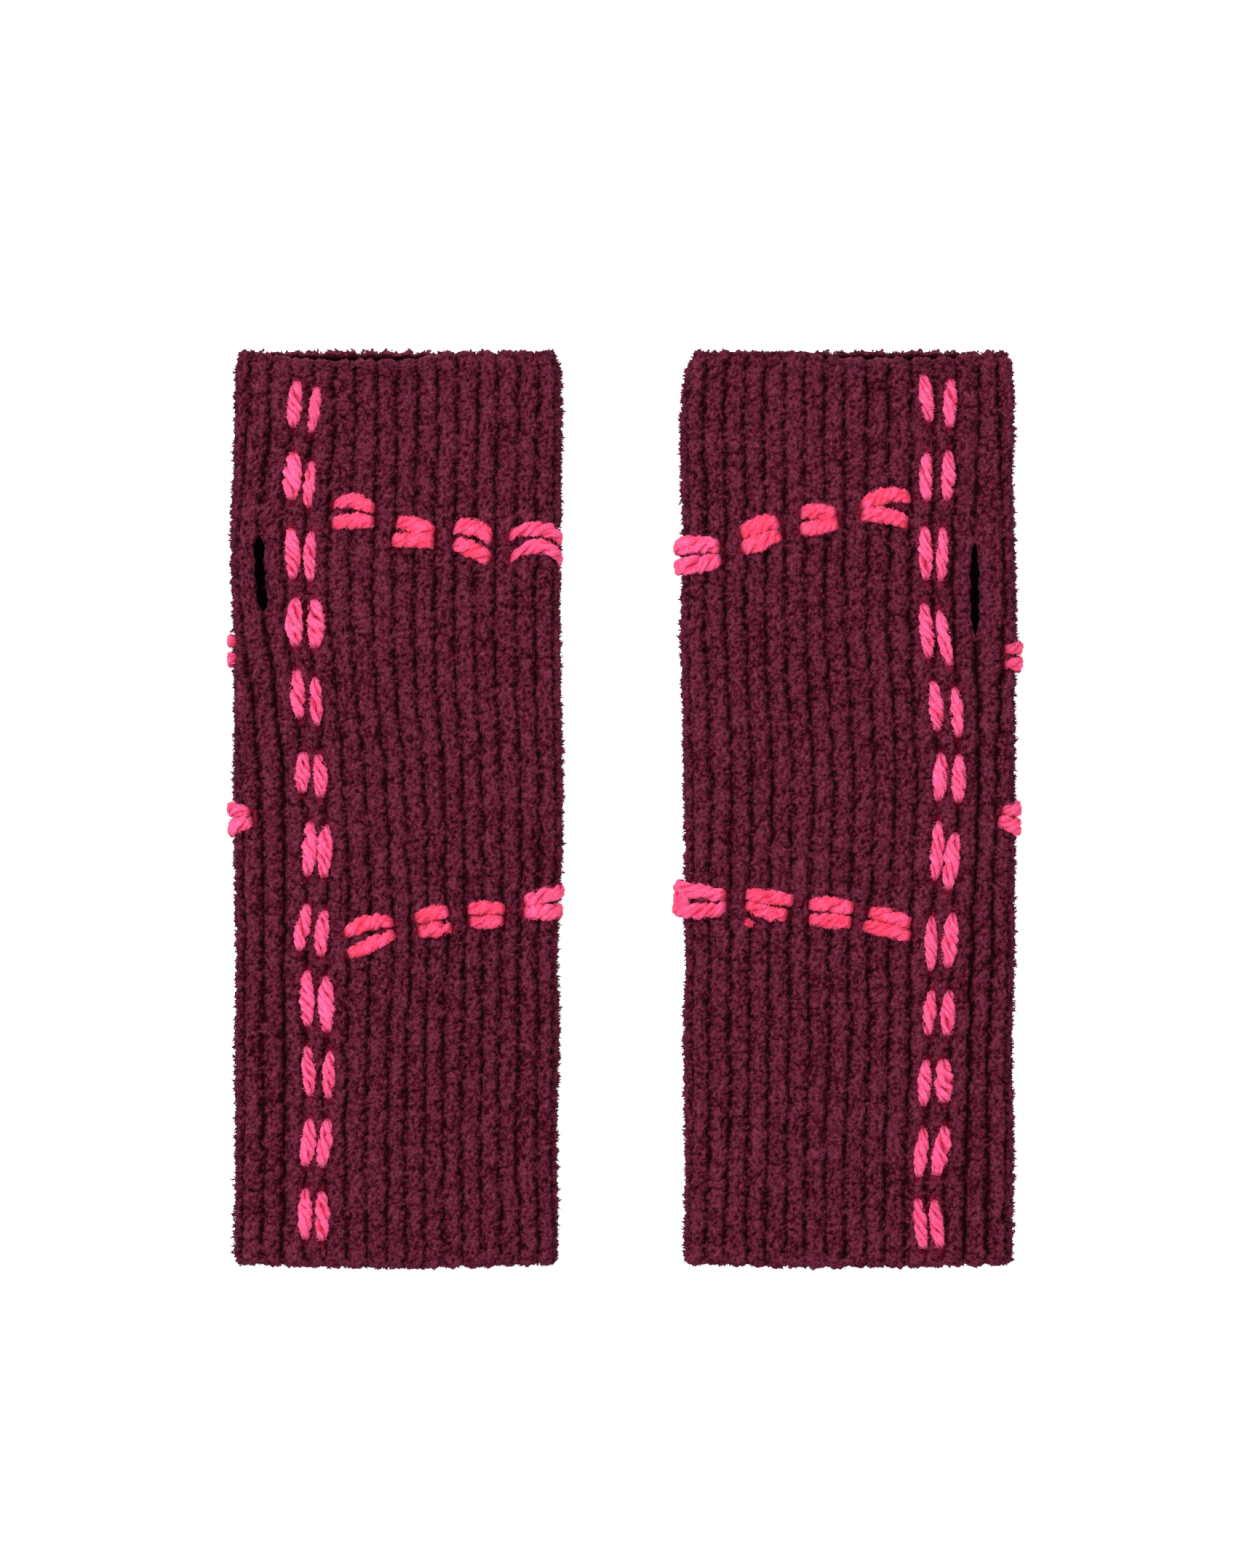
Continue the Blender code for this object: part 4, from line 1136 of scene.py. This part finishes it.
def make_yarn_material(name, streaks):
    """Pink plied yarn: fine paler streaks along each ply, partly painted highlight, and painted shade, deep
    red, in the creases, in small pits and at the ends.
    """
    material, tree, shader = new_material(name)
    fine = add_noise(tree, 900.0, 3.0)
    if streaks:
        mapping = tree.nodes.new("ShaderNodeMapping")
        mapping.inputs["Scale"].default_value = (0.22, 1.6, 1.0)
        tree.links.new(add_attribute(tree, "fibre", "Vector"), mapping.inputs["Vector"])
        fine = add_noise(tree, 3.2, 4.0, mapping.outputs["Vector"])
    # Pale streaks: partly the yarn's own paler fibres, partly painted highlight.
    streak = add_range(tree, fine, 0.38, 0.66)
    felt = add_attribute(tree, "felt")
    blotches = add_range(tree, add_noise(tree, 260.0, 2.0), 0.35, 0.65, -0.4, 0.4)
    tint = add_math(tree, "ADD", felt, blotches)
    pink = add_mix(tree, tint, YARN_PINK, YARN_CORAL)
    pale_and_highlight = add_mix(tree, add_math(tree, "MULTIPLY", tint, 0.6), YARN_PALE_FIBRE_AND_HIGHLIGHT, YARN_CORAL)
    colour = add_mix(tree, streak, pink, pale_and_highlight)
    # Painted shade, deep red, in the creases between plies.
    crease = add_range(tree, add_attribute(tree, "crease"), 0.24, 0.62)
    crease = add_math(tree, "MULTIPLY", crease, add_range(tree, felt, 0.0, 1.0, 0.85, 0.7))
    colour = add_mix(tree, crease, colour, YARN_CREASE_SHADE)
    # Painted shade in small pits, where the bump also dents the yarn.
    crumbs = add_noise(tree, 1500.0, 2.0)
    pit_shade = add_range(tree, crumbs, 0.62, 0.74, 0.0, 0.6)
    colour = add_mix(tree, pit_shade, colour, YARN_PIT_SHADE)
    # Painted shade, dark red, at the ends where the strand dives into the cloth.
    ends = add_range(tree, add_attribute(tree, "ends"), 0.0, 1.0, 0.0, 0.7)
    colour = add_mix(tree, ends, colour, YARN_END_SHADE)
    tree.links.new(colour, shader.inputs["Base Color"])
    shader.inputs["Roughness"].default_value = 0.8
    shader.inputs["Specular IOR Level"].default_value = 0.05
    shader.inputs["Sheen Weight"].default_value = 0.08
    shader.inputs["Sheen Roughness"].default_value = 0.5
    shader.inputs["Sheen Tint"].default_value = (1.0, 0.7, 0.8, 1.0)
    rough = add_math(tree, "SUBTRACT", fine, add_math(tree, "MULTIPLY", crumbs, 0.8))
    add_bump(tree, shader, rough, 0.0005, 0.7)
    return material


def make_stray_material():
    material, tree, shader = new_material("stray_fibre")
    tone = add_range(tree, add_attribute(tree, "tone"), 0.0, 1.0)
    # The fibres' pale tint is partly their own colour and partly painted glint.
    tree.links.new(add_mix(tree, tone, CLOTH_LIGHT, STRAY_TINT_AND_GLINT), shader.inputs["Base Color"])
    shader.inputs["Roughness"].default_value = 0.5
    return material


def make_floor():
    mesh = bpy.data.meshes.new("floor")
    half = FLOOR_HALF
    corners = [(-half, -half, 0), (half, -half, 0), (half, half, 0), (-half, half, 0)]
    mesh.from_pydata(corners, [], [(0, 1, 2, 3)])
    material, tree, shader = new_material("floor_white")
    shader.inputs["Base Color"].default_value = (0.93, 0.93, 0.93, 1.0)
    shader.inputs["Roughness"].default_value = 0.9
    shader.inputs["Specular IOR Level"].default_value = 0.1
    shader.inputs["Emission Color"].default_value = (1.0, 1.0, 1.0, 1.0)
    shader.inputs["Emission Strength"].default_value = 0.5
    mesh.materials.append(material)
    floor = bpy.data.objects.new("floor", mesh)
    floor.location.z = -0.00005
    bpy.context.scene.collection.objects.link(floor)
    return floor


def add_area(name, place_at, size, power):
    light = bpy.data.lights.new(name, "AREA")
    light.shape = "SQUARE"
    light.size = size
    light.energy = power
    item = bpy.data.objects.new(name, light)
    item.location = place_at
    item.rotation_euler = (-Vector(place_at)).to_track_quat("-Z", "Y").to_euler()
    bpy.context.scene.collection.objects.link(item)


def light_stage():
    scene = bpy.context.scene
    scene.view_settings.view_transform = "Standard"
    world = bpy.data.worlds.new("studio")
    world.use_nodes = True
    world.node_tree.nodes["Background"].inputs["Color"].default_value = (1.0, 1.0, 1.0, 1.0)
    world.node_tree.nodes["Background"].inputs["Strength"].default_value = 0.42
    scene.world = world
    add_area("overhead", (0.0, 0.1, 1.9), 1.6, 26.0)
    add_area("key", (-0.9, 0.9, 1.3), 0.7, 17.0)


def add_camera():
    scene = bpy.context.scene
    lens = bpy.data.cameras.new("camera")
    lens.sensor_fit = "AUTO"
    lens.sensor_width = SENSOR
    lens.lens = SENSOR * CAMERA_HEIGHT / FRAME_HEIGHT
    lens.clip_end = 20.0
    camera = bpy.data.objects.new("camera", lens)
    camera.location = Vector((FRAME_CENTRE[0], FRAME_CENTRE[1], CAMERA_HEIGHT + FRAME_LEVEL)) * MM
    scene.collection.objects.link(camera)
    scene.camera = camera


def nodes_named(*starts):
    return [name for name in sorted(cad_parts) if name.startswith(starts)]


def dress(piece, nodes=()):
    """Let a piece ride with the part and stand for its solids."""
    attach(piece, "root")
    if nodes:
        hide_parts(*nodes)
    return piece


def build_warmer(warmer, materials):
    dice = np.random.default_rng(SEED + warmer.seed)
    name = warmer.name
    long_line = long_strands(warmer, dice)
    upper = cross_strands(warmer.upper_row, warmer.proud[0], dice) + end_strands(warmer.upper_ends)
    lower = cross_strands(warmer.lower_row, warmer.proud[1], dice) + end_strands(warmer.lower_ends)
    if warmer.facing < 0:
        lower += [loop_strand(warmer.proud[1]), dot_strand()]
    below = under_strands(warmer, UPPER_UNDER_Y, dice) + under_strands(warmer, LOWER_UNDER_Y, dice)
    strands = long_line + upper + lower + below
    cloth = make_cloth(warmer, strands, materials["cloth"])
    dress(cloth, [name + "_knit_tube"])
    nap = dress(make_nap(warmer, strands, dice, materials["nap"]))
    strays = dress(make_strays(warmer, strands, dice, materials["stray"]))
    sewn = [
        dress(make_yarn(name + "_long_line_yarn", warmer, long_line, dice, materials["yarn"]),
              nodes_named(name + "_long_stitch")),
        dress(make_yarn(name + "_upper_row_yarn", warmer, upper, dice, materials["yarn"]),
              nodes_named(name + "_upper_")),
        dress(make_yarn(name + "_lower_row_yarn", warmer, lower, dice, materials["yarn"]),
              nodes_named(name + "_lower_")),
        dress(make_yarn(name + "_under_row_yarn", warmer, below, dice, materials["yarn"])),
    ]
    fuzz = dress(make_fuzz(warmer, long_line + upper + lower, dice, materials["fuzz"]))


def main():
    floor = make_floor()
    light_stage()
    add_camera()
    materials = {
        "cloth": make_cloth_material("knit_cloth_chenille", 0.135),
        "nap": make_cloth_material("knit_nap_chenille", 0.23),
        "stray": make_stray_material(),
        "yarn": make_yarn_material("stitch_yarn_plied", True),
        "fuzz": make_yarn_material("stitch_yarn_fuzz", False),
    }
    for warmer in WARMERS:
        build_warmer(warmer, materials)


main()
